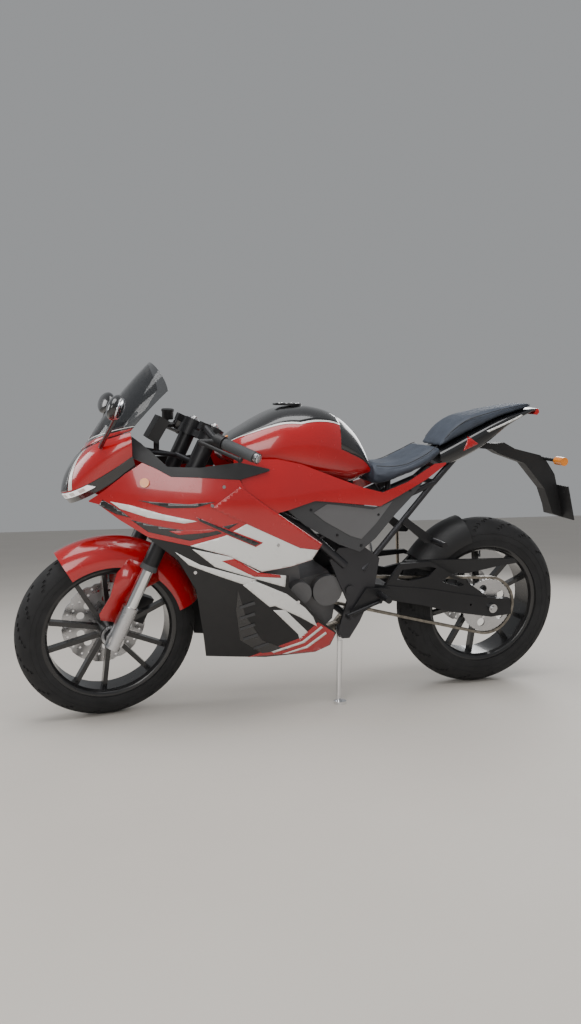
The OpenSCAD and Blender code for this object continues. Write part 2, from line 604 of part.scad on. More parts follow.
module instrument() color("#151517") bike() {
    rotate_at([512, 0, 948], -30) translate([-18, -68, -40]) cube([36, 136, 80]);
    strut([512, 0, 935], [512, 0, 879 + 2 * fit], 9);
}

module foot_controls() color("#202022") bike() {
    mirrored() {
        // Rider's bracket and peg, then the passenger's
        plate([[-123, 339], [-138, 318], [-191, 349], [-273, 386], [-261, 414], [-177, 419]],
            plate_y[1] + fit, plate_y[1] + 11);
        pin(-225, 396, plate_y[1] + 8, 225, 11);
        plate([[-326, 655], [-345, 640], [-440, 575], [-430, 560], [-400, 562], [-310, 635]], 108.4, 116.4);
        pin(-430, 570, 111, 205, 10);
    }
    // Gear lever on the left and brake pedal on the right
    pin(-225, 372, plate_y[1] + 8, 156, 6);
    run([[-225, 152, 372], [-100, 160, 332], [-100, 195, 332]], 5);
    pin(-225, 372, -156, -plate_y[1] - 8, 6);
    run([[-225, -152, 372], [-90, -160, 332], [-90, -195, 332]], 5);
}

foot_height = 7;
stand_top = parked(stand_pivot);
stand_end = [stand_top.x + 10, stand_foot_y - centre_y, foot_height];
// The stand's hinge is square to its leg
stand_tilt = lean + atan2(stand_end.y - stand_top.y, stand_top.z - stand_end.z);
module stand_hinge() translate(stand_pivot) rotate([stand_tilt, 0, 0]) children();

module side_stand() color("silver") difference() {
    union() {
        strut(stand_top, stand_end, stand_r);
        translate([stand_end.x, stand_end.y + 15, 0]) cylinder(h = foot_height + 3, r = 22);
        bike() stand_hinge() pin(0, 0, -8 + fit, 7 - fit, 16);
    }
    bike() stand_hinge() {
        pin(0, 0, -20, 30, 7 + fit);
        pin(0, 0, 7 - fit, 30, 36);
        pin(0, 0, -30, -8 + fit, 20);
    }
}

// Steering -----------------------------------------------------------------------------------

low_clamp = 500;
high_clamp = 690;
clamp_h = 28;
module triple_clamps() color("#202022") forked() {
    difference() {
        union() {
            for (z = [low_clamp, high_clamp]) translate([0, 0, z]) {
                for (s = [-1, 1]) translate([0, s * fork_half, 0]) cylinder(h = clamp_h, r = fork_tube_r + 9);
                translate([-fork_offset, 0, 0]) cylinder(h = clamp_h, r = 28);
                translate([0, 0, 3]) linear_extrude(clamp_h - 6) polygon([[-fork_offset - 12, -32],
                    [-fork_offset - 12, 32], [-16, fork_half], [10, fork_half], [-14, 0], [10, -fork_half],
                    [-16, -fork_half]]);
            }
            translate([-fork_offset, 0, low_clamp + 2]) cylinder(h = high_clamp + clamp_h - low_clamp,
                r = stem_r);
        }
        for (s = [-1, 1]) translate([0, s * fork_half, low_clamp - 1])
            cylinder(h = high_clamp + clamp_h - low_clamp + 2, r = fork_tube_r + fit);
    }
}
tube_foot = 250;
module fork_tubes() color("#151516") forked() for (s = [-1, 1]) translate([0, s * fork_half, tube_foot])
    difference() {
        cylinder(h = fork_len - tube_foot, r = fork_tube_r);
        translate([0, 0, -1]) cylinder(h = 260, r = stanchion_r + fit);
    }
foot_top = 118;
module fork_stanchions() color("gainsboro") forked() for (s = [-1, 1])
    translate([0, s * fork_half, foot_top - 40]) cylinder(h = 380, r = stanchion_r);
module front_axle() color("#2a2a2c") forked() difference() {
    union() {
        rotate([-90, 0, 0]) translate([0, 0, -fork_half - 22]) cylinder(h = 2 * fork_half + 44, r = axle_r);
        for (s = [-1, 1]) translate([0, s * fork_half, 0]) {
            translate([0, 0, -26]) cylinder(h = foot_top + 26, r = stanchion_r + 6);
            rotate([-90, 0, 0]) translate([0, 0, -18]) cylinder(h = 36, r = 24);
        }
        // Ears that carry the caliper
        for (z = [46, 104]) translate([-104, -102, z]) cube([90, 102 - caliper_y[1] - fit, 14]);
    }
    for (s = [-1, 1]) translate([0, s * fork_half, foot_top - 40.5]) cylinder(h = 60, r = stanchion_r + fit);
}

ring_z = [high_clamp + clamp_h + fit, fork_len - 2];
bar_root = [38, 20, ring_z[0] + 14];
grip_in = [388, 190, 942];
grip_out = [300, 318, 902];
grip_dir = (grip_out - grip_in) / norm(grip_out - grip_in);
// A place in the fork's frame, seen from the bike's
function from_fork(p) = [front_reach + p.x * cos(rake) - p.z * sin(rake), p.y,
    front_r + p.x * sin(rake) + p.z * cos(rake)];
bar_start = from_fork([bar_root.x, fork_half + bar_root.y, bar_root.z]);
module handlebars() color("#1b1b1d") {
    steered() mirrored() {
        strut(bar_start, grip_in, 11.5);
        strut(grip_in - grip_dir * 6, grip_out, 11);
        translate(grip_in) sphere(12.5);
    }
    forked() mirrored() translate([0, fork_half, 0]) difference() {
        union() {
            translate([0, 0, ring_z[0]]) cylinder(h = ring_z[1] - ring_z[0], r = fork_tube_r + 9);
            translate([bar_root.x - 12, bar_root.y - 14, ring_z[0]]) cube([26, 28, ring_z[1] - ring_z[0]]);
        }
        translate([0, 0, ring_z[0] - 1]) cylinder(h = 60, r = fork_tube_r + fit);
    }
}
module hand_controls() color("#2b2b2d") steered() mirrored() difference() {
    union() {
        // Grip with its end, and the switch housing inboard of it
        strut(grip_in + grip_dir * 34, grip_out + grip_dir * 4, 16);
        strut(grip_in + grip_dir * 4, grip_in + grip_dir * 35, 21);
        // Lever and its perch
        strut(grip_in + grip_dir * 18, grip_in + [52, 6, -6], 9);
        strut(grip_in + [52, 6, -6], grip_out + [52, -8, -4], 6);
    }
    strut(grip_in - grip_dir * 20, grip_out + grip_dir * fit, 11 + fit);
    translate(grip_in) sphere(12.5 + fit);
    strut(bar_start, grip_in, 11.5 + fit);
}

module front_fender() color("firebrick") {
    rim = front_r - front_crown + 6;
    steered() intersection() {
        translate([front_reach, 0, front_r]) rotate([90, 0, 0]) rotate_extrude() difference() {
            translate([rim, 0]) circle(fender_cheek_y - 2);
            translate([rim, 0]) circle(fender_cheek_y - 5.5);
            translate([0, -100]) square([front_r - 62, 200]);
        }
        plate([[front_reach, front_r - 20], [front_reach + 250, front_r + 420],
            [front_reach - 100, front_r + 460],
            [front_reach - 420, front_r + 140]], -100, 100);
    }
    // Cheeks that reach down to the fork's feet
    forked() mirrored() plate([[-18, 116], [-18, 60], [20, 48], [62, 40], [74, 56], [66, 120],
        [78, 200], [60, 256],
        [-40, 256], [-60, 220], [-10, 160]], fender_cheek_y - 4, fender_cheek_y);
}
fender_cheek_y = fork_half - stanchion_r - 6 - fit;

caliper_y = [44, 84];
module front_caliper() color("#202022") forked() difference() {
    union() {
        translate([-122, -caliper_y[1], 40]) cube([54, caliper_y[1] - caliper_y[0], 92]);
        translate([-106, -caliper_y[1], 44]) cube([40, 12, 84]);
    }
    rotate([90, 0, 0]) translate([0, 0, 56]) cylinder(h = 15.5, r = front_disc_r + 6);
}

// Wheels -------------------------------------------------------------------------------------

front_rim_half = 44;
rear_rim_half = 57;
module rim_ring(w) rotate_extrude($fn = 120) polygon([[rim_r - 18, 12 - w], [rim_r - 10, -w],
    [rim_r + 10, -w],
    [rim_r + 10, 4.5 - w], [rim_r, 6 - w], [rim_r, 18 - w], [rim_r - 11, 26 - w], [rim_r - 11, w - 26],
    [rim_r, w - 18], [rim_r, w - 6], [rim_r + 10, w - 4.5], [rim_r + 10, w], [rim_r - 10, w],
        [rim_r - 18, w - 12]]);
module spokes(hub, thick) for (k = [0 : spoke_pairs - 1], s = [-1, 1]) rotate(k * 360 / spoke_pairs)
    rotate(s * 12) translate([hub - 6, s * 6 - spoke_w / 2, -thick / 2])
        cube([rim_r - 14 - hub + 6, spoke_w, thick]);
module wheel(w, hub, right, left) difference() {
    union() {
        rim_ring(w);
        spokes(hub, 24);
        translate([0, 0, -right]) cylinder(h = right + left, r = hub);
    }
    translate([0, 0, -200]) cylinder(h = 400, r = axle_r + fit);
}
module tyre(r, crown, w) rotate_extrude($fn = 120) difference() {
    translate([r - crown, 0]) circle(crown);
    translate([-1, -100]) square([rim_r + fit + 1, 200]);
    for (s = [-1, 1]) scale([1, s]) polygon([[rim_r - 20, w - 7], [rim_r + 10.5, w - 7],
        [rim_r + 10.5, w + 1],
        [rim_r + 24, crown + 8], [rim_r - 20, crown + 8]]);
}
// A brake disc with shallow waves in its edge, drilled, on a carrier with windows
module disc(r, hub, y) translate([0, 0, y]) linear_extrude(disc_t) difference() {
    circle(r);
    for (k = [0 : 9]) rotate(k * 36) translate([r + 16, 0]) circle(20);
    for (k = [0 : 19], i = [0 : 1]) rotate(k * 18 + i * 9) translate([r - 14 - i * 13, 0]) circle(4);
    for (k = [0 : 4]) rotate(k * 72) for (a = [-22, 22]) rotate(a) translate([(r + hub) / 2 - 8,
        0]) circle(13);
    circle(axle_r + 16);
}
front_disc_y = 66;
rear_disc_y = 86;
disc_t = 4.5;
sprocket_y = 81;
module front_rim() color("#161618") front_wheel() wheel(front_rim_half, 38, front_disc_y - disc_t - fit, 62);
module front_tyre() color("#1a1a1a") front_wheel() tyre(front_r, front_crown, front_rim_half);
module front_disc() color("silver") front_wheel() disc(front_disc_r, 44, -front_disc_y);
module rear_rim() color("#161618") rear_wheel()
    wheel(rear_rim_half, 46, rear_disc_y - disc_t - fit, sprocket_y - fit);
module rear_tyre() color("#1a1a1a") rear_wheel() tyre(rear_r, rear_crown, rear_rim_half);
module rear_disc() color("silver") rear_wheel() disc(rear_disc_r, 44, -rear_disc_y);
sprocket_teeth = 40;
module sprocket() color("silver") rear_wheel() translate([0, 0, sprocket_y]) linear_extrude(6) difference() {
    circle(sprocket_r - 3);
    for (k = [0 : sprocket_teeth - 1]) rotate(k * 360 / sprocket_teeth) translate([sprocket_r, 0]) circle(5);
    for (k = [0 : 4]) rotate(k * 72) translate([66, 0]) circle(15);
    circle(axle_r + 14);
}

frame();
engine();
radiator();
exhaust();
swingarm();
chain();
rear_guards();
rear_shock();
rear_axle();
tank();
fuel_cap();
rider_seat();
pillion_seat();
tail_cowl();
tail_light();
plate_hanger();
turn_signals();
side_panels();
frame_covers();
upper_fairings();
lower_fairings();
nose_cowl();
headlights();
headlight_mask();
windscreen();
mirrors();
cockpit_trim();
instrument();
foot_controls();
side_stand();
triple_clamps();
fork_tubes();
fork_stanchions();
handlebars();
hand_controls();
front_fender();
front_caliper();
front_axle();
front_rim();
front_tyre();
front_disc();
rear_rim();
rear_tyre();
rear_disc();
sprocket();
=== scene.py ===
# %% [markdown]
# # A sport motorcycle on its side stand
#
# The solid model comes first: it is loaded as a fixed frame, one object for each part, with its
# joints. Everything after that adds what the eye sees, such as smooth painted skins, seats,
# tread, bolts and finishes. Each new piece rides on the body that it moves with.

# %% Load the model
import math

import bmesh
import bpy
import json
from mathutils import Matrix, Vector


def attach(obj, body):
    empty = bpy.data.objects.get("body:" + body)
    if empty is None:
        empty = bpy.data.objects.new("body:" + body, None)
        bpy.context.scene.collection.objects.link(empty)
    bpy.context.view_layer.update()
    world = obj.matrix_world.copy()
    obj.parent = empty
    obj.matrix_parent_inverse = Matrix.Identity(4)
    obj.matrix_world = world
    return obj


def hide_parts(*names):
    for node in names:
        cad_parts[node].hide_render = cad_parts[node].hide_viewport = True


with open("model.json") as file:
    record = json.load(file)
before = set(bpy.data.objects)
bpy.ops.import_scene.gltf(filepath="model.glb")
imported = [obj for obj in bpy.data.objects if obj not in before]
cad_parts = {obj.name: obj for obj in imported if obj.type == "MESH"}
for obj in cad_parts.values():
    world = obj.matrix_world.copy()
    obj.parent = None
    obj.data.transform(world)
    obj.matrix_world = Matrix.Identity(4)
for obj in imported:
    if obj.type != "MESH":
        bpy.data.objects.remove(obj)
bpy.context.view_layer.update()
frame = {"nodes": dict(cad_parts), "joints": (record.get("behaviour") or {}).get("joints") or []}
nodes = frame["nodes"]
joints = {j["name"]: j for j in frame["joints"]}

# %% [markdown]
# ## Working frames
#
# A motorcycle is drawn upright, in millimetres, from its own centre plane. The parked one leans
# on its stand with the bars turned, so each group of pieces is modelled upright and then placed
# by one matrix. The matrices start from where the joints are, so they agree with the model.

# %% Frames of the bike, the bars, the fork and the wheels
MM = Matrix.Scale(0.001, 4)
lean, pitch, bar_turn, rake = 8, 0.083, 10, 25
reach, front_r, rear_r, trail = 675, 293, 314, 95


def turned(degrees, axis):
    return Matrix.Rotation(math.radians(degrees), 4, axis)


def moved(x, y, z):
    return Matrix.Translation((x, y, z))


rear_hub = Vector(joints["rear_wheel_spin"]["pos_m"])
steer_dir = Vector((-math.sin(math.radians(rake)), 0, math.cos(math.radians(rake))))
BIKE = Matrix.Translation(rear_hub) @ turned(pitch, "Y") @ turned(-lean, "X") @ MM @ moved(reach, 0, -rear_r)
STEERED = BIKE @ moved(reach + trail, 0, 0) @ turned(bar_turn, steer_dir) @ moved(-reach - trail, 0, 0)
FORK = STEERED @ moved(reach, 0, front_r) @ turned(-rake, "Y")
FRONT_WHEEL = STEERED @ moved(reach, 0, front_r)
REAR_WHEEL = BIKE @ moved(-reach, 0, rear_r)
hub_error = (FRONT_WHEEL.translation - Vector(joints["front_wheel_spin"]["pos_m"])).length
print("front hub is placed to", round(hub_error * 1000, 2), "mm")

# %% [markdown]
# ## Camera, light and floor
#
# A studio view is a long soft light overhead, a large fill at the side, dimmer ones behind and in
# front, and a pale floor. Soft lights show the shape of gloss paint by their long reflections.

# %% Camera
camera_data = bpy.data.cameras.new("camera")
camera_data.lens = 27.25
camera_data.sensor_width = 36
camera = bpy.data.objects.new("camera", camera_data)
bpy.context.scene.collection.objects.link(camera)
yaw, tip, roll = -0.2804, -0.0270, -0.0172
ahead = Vector((math.sin(yaw) * math.cos(tip), -math.cos(yaw) * math.cos(tip), math.sin(tip)))
level = Vector((-math.cos(yaw), -math.sin(yaw), 0))
right = level * math.cos(roll) + level.cross(ahead) * math.sin(roll)
up = (-ahead).cross(right)
camera.matrix_world = Matrix((
    (right.x, up.x, -ahead.x, 0.8184),
    (right.y, up.y, -ahead.y, 2.5225),
    (right.z, up.z, -ahead.z, 0.7299),
    (0, 0, 0, 1)))
bpy.context.scene.camera = camera
print("camera lens", camera_data.lens, "mm")


# %% Lights
def soft_light(name, place, aim, size, power, colour=(1, 1, 1)):
    data = bpy.data.lights.new(name, "AREA")
    data.shape = "RECTANGLE"
    data.size, data.size_y = size
    data.energy = power
    data.color = colour
    lamp = bpy.data.objects.new(name, data)
    lamp.location = place
    lamp.rotation_euler = (Vector(aim) - Vector(place)).to_track_quat("-Z", "Y").to_euler()
    bpy.context.scene.collection.objects.link(lamp)


soft_light("overhead", (0.3, 0.8, 3.4), (0, 0, 0.5), (3.6, 2.2), 95)
soft_light("fill", (1.8, 3.6, 1.9), (0.2, 0, 0.5), (2.4, 2.0), 60, (1, 0.98, 0.95))
soft_light("rear_fill", (-2.8, -2.2, 2.0), (0, 0, 0.5), (2.2, 1.6), 50)
soft_light("front_fill", (3.4, -1.2, 1.8), (0.4, 0, 0.6), (1.6, 1.6), 35)
world = bpy.data.worlds.new("studio")
world.use_nodes = True
world.node_tree.nodes["Background"].inputs["Color"].default_value = (0.86, 0.88, 0.9, 1)
world.node_tree.nodes["Background"].inputs["Strength"].default_value = 0.38
bpy.context.scene.world = world
print("four lights and a pale sky")

# %% [markdown]
# ## Finishes
#
# Real surfaces are never one flat value. Paint varies a little in tone, plastic has a fine
# grain, and handled parts are shinier in patches. One function builds a finish from a base
# colour, a slow change of tone, a change of roughness and a fine bump, all in the object's own
# coordinates. The gloss of paint is a clear coat over the colour.


def finish(name, colour, rough, metal=0.0, coat=0.0, tone=0.08, tone_scale=5.0,
           rough_spread=0.08, grain=0.0, grain_scale=900.0, grain_depth=0.0003):
    made = bpy.data.materials.new(name)
    made.use_nodes = True
    tree = made.node_tree
    shader = tree.nodes["Principled BSDF"]
    shader.inputs["Metallic"].default_value = metal
    shader.inputs["Coat Weight"].default_value = coat
    shader.inputs["Coat Roughness"].default_value = 0.04
    place = tree.nodes.new("ShaderNodeTexCoord")
    slow = tree.nodes.new("ShaderNodeTexNoise")
    slow.inputs["Scale"].default_value = tone_scale
    slow.inputs["Detail"].default_value = 5
    tree.links.new(place.outputs["Object"], slow.inputs["Vector"])
    ramp = tree.nodes.new("ShaderNodeValToRGB")
    ramp.color_ramp.elements[0].position = 0.3
    ramp.color_ramp.elements[1].position = 0.7
    ramp.color_ramp.elements[0].color = [c * (1 - tone) for c in colour] + [1]
    ramp.color_ramp.elements[1].color = [min(1, c * (1 + tone)) for c in colour] + [1]
    tree.links.new(slow.outputs["Fac"], ramp.inputs["Fac"])
    tree.links.new(ramp.outputs["Color"], shader.inputs["Base Color"])
    patch = tree.nodes.new("ShaderNodeTexNoise")
    patch.inputs["Scale"].default_value = 38
    patch.inputs["Detail"].default_value = 6
    tree.links.new(place.outputs["Object"], patch.inputs["Vector"])
    spread = tree.nodes.new("ShaderNodeMapRange")
    spread.inputs["From Min"].default_value = 0.3
    spread.inputs["From Max"].default_value = 0.7
    spread.inputs["To Min"].default_value = max(0.02, rough - rough_spread / 2)
    spread.inputs["To Max"].default_value = min(1, rough + rough_spread / 2)
    tree.links.new(patch.outputs["Fac"], spread.inputs["Value"])
    tree.links.new(spread.outputs["Result"], shader.inputs["Roughness"])
    if grain:
        fine = tree.nodes.new("ShaderNodeTexNoise")
        fine.inputs["Scale"].default_value = grain_scale
        fine.inputs["Detail"].default_value = 3
        tree.links.new(place.outputs["Object"], fine.inputs["Vector"])
        bump = tree.nodes.new("ShaderNodeBump")
        bump.inputs["Strength"].default_value = grain
        bump.inputs["Distance"].default_value = grain_depth
        tree.links.new(fine.outputs["Fac"], bump.inputs["Height"])
        tree.links.new(bump.outputs["Normal"], shader.inputs["Normal"])
    return made


# %% Paints
red_paint = finish("red_paint", (0.43, 0.004, 0.007), 0.24, coat=1.0, tone=0.05)
white_paint = finish("white_paint", (0.82, 0.82, 0.80), 0.3, coat=1.0, tone=0.03)
black_paint = finish("black_paint", (0.008, 0.008, 0.009), 0.25, coat=1.0, tone=0.1)
bright_white = finish("bright_white", (0.9, 0.9, 0.88), 0.3, coat=1.0, tone=0.02)
print("four paints")

# %% Plastics and rubbers
matte_black = finish("matte_black", (0.012, 0.012, 0.013), 0.5, tone=0.2, grain=0.35,
                     grain_scale=1400)
cover_grey = finish("cover_grey", (0.055, 0.056, 0.06), 0.52, tone=0.1, grain=0.4,
                    grain_scale=1200)
inset_grey = finish("inset_grey", (0.13, 0.13, 0.135), 0.5, tone=0.1, grain=0.3,
                    grain_scale=1200)
grip_rubber = finish("grip_rubber", (0.09, 0.095, 0.1), 0.8, tone=0.15, grain=0.6, grain_scale=1600)
tyre_rubber = finish("tyre_rubber", (0.014, 0.014, 0.015), 0.82, tone=0.3, tone_scale=14, grain=0.7,
                     grain_scale=700, grain_depth=0.0005)
print("plastics and rubbers")

# %% Metals
frame_metal = finish("frame_metal", (0.06, 0.06, 0.065), 0.42, metal=0.8, grain=0.15,
                     grain_scale=500)
black_metal = finish("black_metal", (0.018, 0.018, 0.02), 0.4, metal=0.3, tone=0.2, grain=0.2,
                     grain_scale=700)
wheel_black = finish("wheel_black", (0.012, 0.012, 0.013), 0.3, coat=0.6, tone=0.2)
steel = finish("steel", (0.55, 0.55, 0.56), 0.3, metal=1.0, tone=0.1, rough_spread=0.16, grain=0.15,
               grain_scale=300)
chrome = finish("chrome", (0.8, 0.8, 0.81), 0.1, metal=1.0, tone=0.04, rough_spread=0.06)
engine_alloy = finish("engine_alloy", (0.16, 0.16, 0.165), 0.5, metal=0.7, tone=0.2, grain=0.4,
                      grain_scale=350)
pipe_steel = finish("pipe_steel", (0.42, 0.37, 0.31), 0.32, metal=1.0, tone=0.25, tone_scale=9,
                    rough_spread=0.18)
chain_steel = finish("chain_steel", (0.24, 0.22, 0.19), 0.42, metal=1.0, tone=0.35, tone_scale=60)
print("metals")

# %% Lenses, glass and cloth
red_lens = finish("red_lens", (0.5, 0.01, 0.01), 0.12, coat=1.0)
amber_lens = finish("amber_lens", (0.85, 0.26, 0.02), 0.16, coat=1.0, tone=0.12, tone_scale=60)
lamp_white = finish("lamp_white", (0.93, 0.94, 0.95), 0.12, coat=1.0, tone=0.05, tone_scale=40)
lamp_white.node_tree.nodes["Principled BSDF"].inputs["Emission Color"].default_value = (1, 1, 1, 1)
lamp_white.node_tree.nodes["Principled BSDF"].inputs["Emission Strength"].default_value = 0.55
mirror_glass = finish("mirror_glass", (0.75, 0.77, 0.8), 0.05, metal=1.0, tone=0.02,
                      rough_spread=0.02)
screen_glass = finish("screen_glass", (0.02, 0.022, 0.025), 0.08, coat=0.5, tone=0.1,
                      rough_spread=0.04)
screen_glass.node_tree.nodes["Principled BSDF"].inputs["Alpha"].default_value = 0.55
dial_face = finish("dial_face", (0.3, 0.34, 0.32), 0.25, coat=1.0, tone=0.1, tone_scale=80)
seat_blue = finish("seat_blue", (0.05, 0.062, 0.085), 0.62, tone=0.16, tone_scale=22,
                   grain=0.9, grain_scale=620, grain_depth=0.0006)
print("lenses, glass and cloth")

# %% Floor
floor_mesh = bmesh.new()
bmesh.ops.create_grid(floor_mesh, x_segments=2, y_segments=2, size=14)
floor_data = bpy.data.meshes.new("floor")
floor_mesh.to_mesh(floor_data)
floor_mesh.free()
floor = bpy.data.objects.new("floor", floor_data)
bpy.context.scene.collection.objects.link(floor)
floor_finish = finish("floor_finish", (0.62, 0.58, 0.53), 0.6, tone=0.03, tone_scale=1.5,
                      grain=0.1, grain_scale=120)
floor_data.materials.append(floor_finish)
print("floor", [round(s, 1) for s in floor.dimensions])

# %% [markdown]
# ## Helpers for new pieces
#
# A piece is shaped in a bmesh in millimetres, in the frame of its body, then placed by one
# matrix and turned into an object at the origin. Modifiers add wall thickness and round edges.


# %% Turn a bmesh into a finished piece
def add_piece(name, shape, place, body, made_of, wall=0.0, edge=0.0, smooth=38):
    shape.transform(place)
    shape.normal_update()
    data = bpy.data.meshes.new(name)
    shape.to_mesh(data)
    shape.free()
    data.materials.append(made_of)
    data.polygons.foreach_set("use_smooth", [True] * len(data.polygons))
    data.set_sharp_from_angle(angle=math.radians(smooth))
    piece = bpy.data.objects.new(name, data)
    bpy.context.scene.collection.objects.link(piece)
    if wall:
        solid = piece.modifiers.new("wall", "SOLIDIFY")
        solid.thickness = wall / 1000
        solid.offset = -1
    if edge:
        bevel = piece.modifiers.new("edge", "BEVEL")
        bevel.width = edge / 1000
        bevel.segments = 2
        bevel.limit_method = "ANGLE"
        bevel.angle_limit = math.radians(40)
        bevel.harden_normals = True
    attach(piece, body)
    return piece


# %% Round bars, plates and rings
def rod(shape, a, b, r, r_end=None, sides=32):
    a, b = Vector(a), Vector(b)
    way = (b - a).to_track_quat("Z", "Y").to_matrix().to_4x4()
    bmesh.ops.create_cone(shape, cap_ends=True, segments=sides, radius1=r,
                          radius2=r if r_end is None else r_end,
                          depth=(b - a).length, matrix=Matrix.Translation((a + b) / 2) @ way)


def spun(shape, profile, axis="Y", steps=96):
    """Spins a closed profile of [radius, along] points round an axis."""
    if axis == "Y":
        ring = [shape.verts.new((r, t, 0)) for r, t in profile]
        line = (0, 1, 0)
    else:
        ring = [shape.verts.new((r, 0, t)) for r, t in profile]
        line = (0, 0, 1)
    edges = [shape.edges.new((ring[i], ring[(i + 1) % len(ring)])) for i in range(len(ring))]
    bmesh.ops.spin(shape, geom=ring + edges, cent=(0, 0, 0), axis=line, angle=math.tau, steps=steps,
                   use_merge=True)
    bmesh.ops.recalc_face_normals(shape, faces=shape.faces[:])


def both_sides(shape):
    """Mirrors a shape to the other side, and turns every face away from the centre plane."""
    bmesh.ops.mirror(shape, geom=shape.verts[:] + shape.edges[:] + shape.faces[:], axis="Y",
                     merge_dist=0.0001)
    shape.normal_update()
    for face in shape.faces:
        middle = face.calc_center_median()
        if middle.y < 0 and face.normal.y > 0 or middle.y > 0 and face.normal.y < 0:
            face.normal_flip()


def copied(name, part, body, made_of, smooth):
    """A merged copy of a CAD part with smooth shading, which stands for it."""
    shape = bmesh.new()
    shape.from_mesh(nodes[part].data)
    bmesh.ops.remove_doubles(shape, verts=shape.verts[:], dist=0.00002)
    piece = add_piece(name, shape, Matrix.Identity(4), body, made_of, smooth=smooth)
    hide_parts(part)


print("helpers ready")

# %% [markdown]
# ## The curved surfaces of the bodywork
#
# Body panels are flat outlines bent to one flowing surface, so that neighbours always line up.
# The surface is a half width for each place along and up the bike.


# %% Half widths and smooth curves
def curve(x, line):
    i = 0
    while i < len(line) - 2 and x > line[i + 1][0]:
        i += 1
    step = line[i + 1][0] - line[i][0]
    t = min(1, max(0, (x - line[i][0]) / step))
    u = 1 - t

    def secant(k):
        return (line[k + 1][1] - line[k][1]) / (line[k + 1][0] - line[k][0])

    def slope(k):
        if k == 0:
            return secant(0)
        return secant(k - 1) if k == len(line) - 1 else (secant(k - 1) + secant(k)) / 2

    return (line[i][1] * (1 + 2 * t) * u * u + line[i + 1][1] * t * t * (3 - 2 * t)
            + step * t * u * (slope(i) * u - slope(i + 1) * t))


def height_factor(z):
    return 1 - ((z - 700) / 430) ** 2 if z > 700 else 1 - ((700 - z) / 700) ** 2


def fairing_y(x, z):
    plan = math.sqrt(max(0.01, 1 - ((x - 260) / 510) ** 2)) if x > 260 else 1 - 8.5e-7 * (260 - x) ** 2
    return 240 * plan * height_factor(z)


side_plan = [(-480, 116), (-400, 128), (-316, 140), (-211, 152), (-60, 168), (60, 196), (163, 228),
             (320, 232)]


def side_y(x, z):
    return curve(x, side_plan) * (height_factor(z) if z > 700 else 1)


def cover_y(x, z):
    return side_y(x, z) - 12


def trim_y(x, z):
    return fairing_y(x, z) + 1.5 - 0.3 * max(0, z - 815) * min(1, max(0, (x - 290) / 60))


# %% A flat outline cut finely and bent to a surface
def bent_panel(outline, surface, lift=0.0, step=9):
    shape = bmesh.new()
    shape.faces.new([shape.verts.new((x, 0, z)) for x, z in outline])
    for axis in (0, 2):
        values = [(x, 0, z)[axis] for x, z in outline]
        low, high = min(values), max(values)
        cuts = int((high - low) / step)
        for i in range(1, cuts + 1):
            at, way = [0, 0, 0], [0, 0, 0]
            at[axis] = low + (high - low) * i / (cuts + 1)
            way[axis] = 1
            bmesh.ops.bisect_plane(shape, geom=shape.verts[:] + shape.edges[:] + shape.faces[:],
                                   dist=0.0001, plane_co=at, plane_no=way)
    for v in shape.verts:
        x, z = v.co.x, v.co.z
        out = Vector((surface(x - 1, z) - surface(x + 1, z), 2, surface(x, z - 1) - surface(x, z + 1)))
        v.co = Vector((x, surface(x, z), z)) + lift * out.normalized()
    bmesh.ops.triangulate(shape, faces=[f for f in shape.faces if len(f.verts) > 4])
    bmesh.ops.recalc_face_normals(shape, faces=shape.faces[:])
    shape.normal_update()
    if sum(f.normal.y for f in shape.faces) < 0:
        bmesh.ops.reverse_faces(shape, faces=shape.faces[:])
    return shape


def panels(name, outline, surface, made_of, lift=0.0, wall=4.0, edge=1.0):
    """The same bent panel on both sides of the bike."""
    shape = bent_panel(outline, surface, lift)
    both_sides(shape)
    return add_piece(name, shape, BIKE, "chassis", made_of, wall=wall, edge=edge, smooth=60)


def drawn(high, low):
    """One outline from an upper and a lower edge."""
    return high + [p for p in reversed(low) if p not in high]


# %% [markdown]
# ## Fairing panels
#
# Each side of the fairing is an upper panel in paint and a lower panel in matte black plastic.
# The edges are rolled, so a small bevel catches the light along them.

# %% Upper and lower fairings
upper_high = [(14, 598), (163, 700), (199, 723), (270, 776), (285, 806), (406, 813), (491, 815), (534, 838),
              (573, 855), (623, 821), (682, 770), (729, 733)]
upper_low = [(14, 594), (46, 545), (119, 526), (211, 514), (321, 572), (437, 606), (560, 632), (641, 681),
             (703, 725), (729, 729)]
lower_high = [(-75, 268), (-7, 324), (117, 453), (120, 495), (211, 513), (321, 571), (437, 605), (560, 631)]
lower_low = [(-75, 264), (-61, 218), (-10, 195), (168, 193), (370, 216), (381, 280), (416, 462), (472, 561),
             (560, 628)]
upper = panels("upper_fairing_skin", drawn(upper_high, upper_low), fairing_y, red_paint)
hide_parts("upper_fairings")
lower = panels("lower_fairing_skin", drawn(lower_high, lower_low), fairing_y, matte_black)
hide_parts("lower_fairings")
print("fairings", len(upper.data.polygons), len(lower.data.polygons))

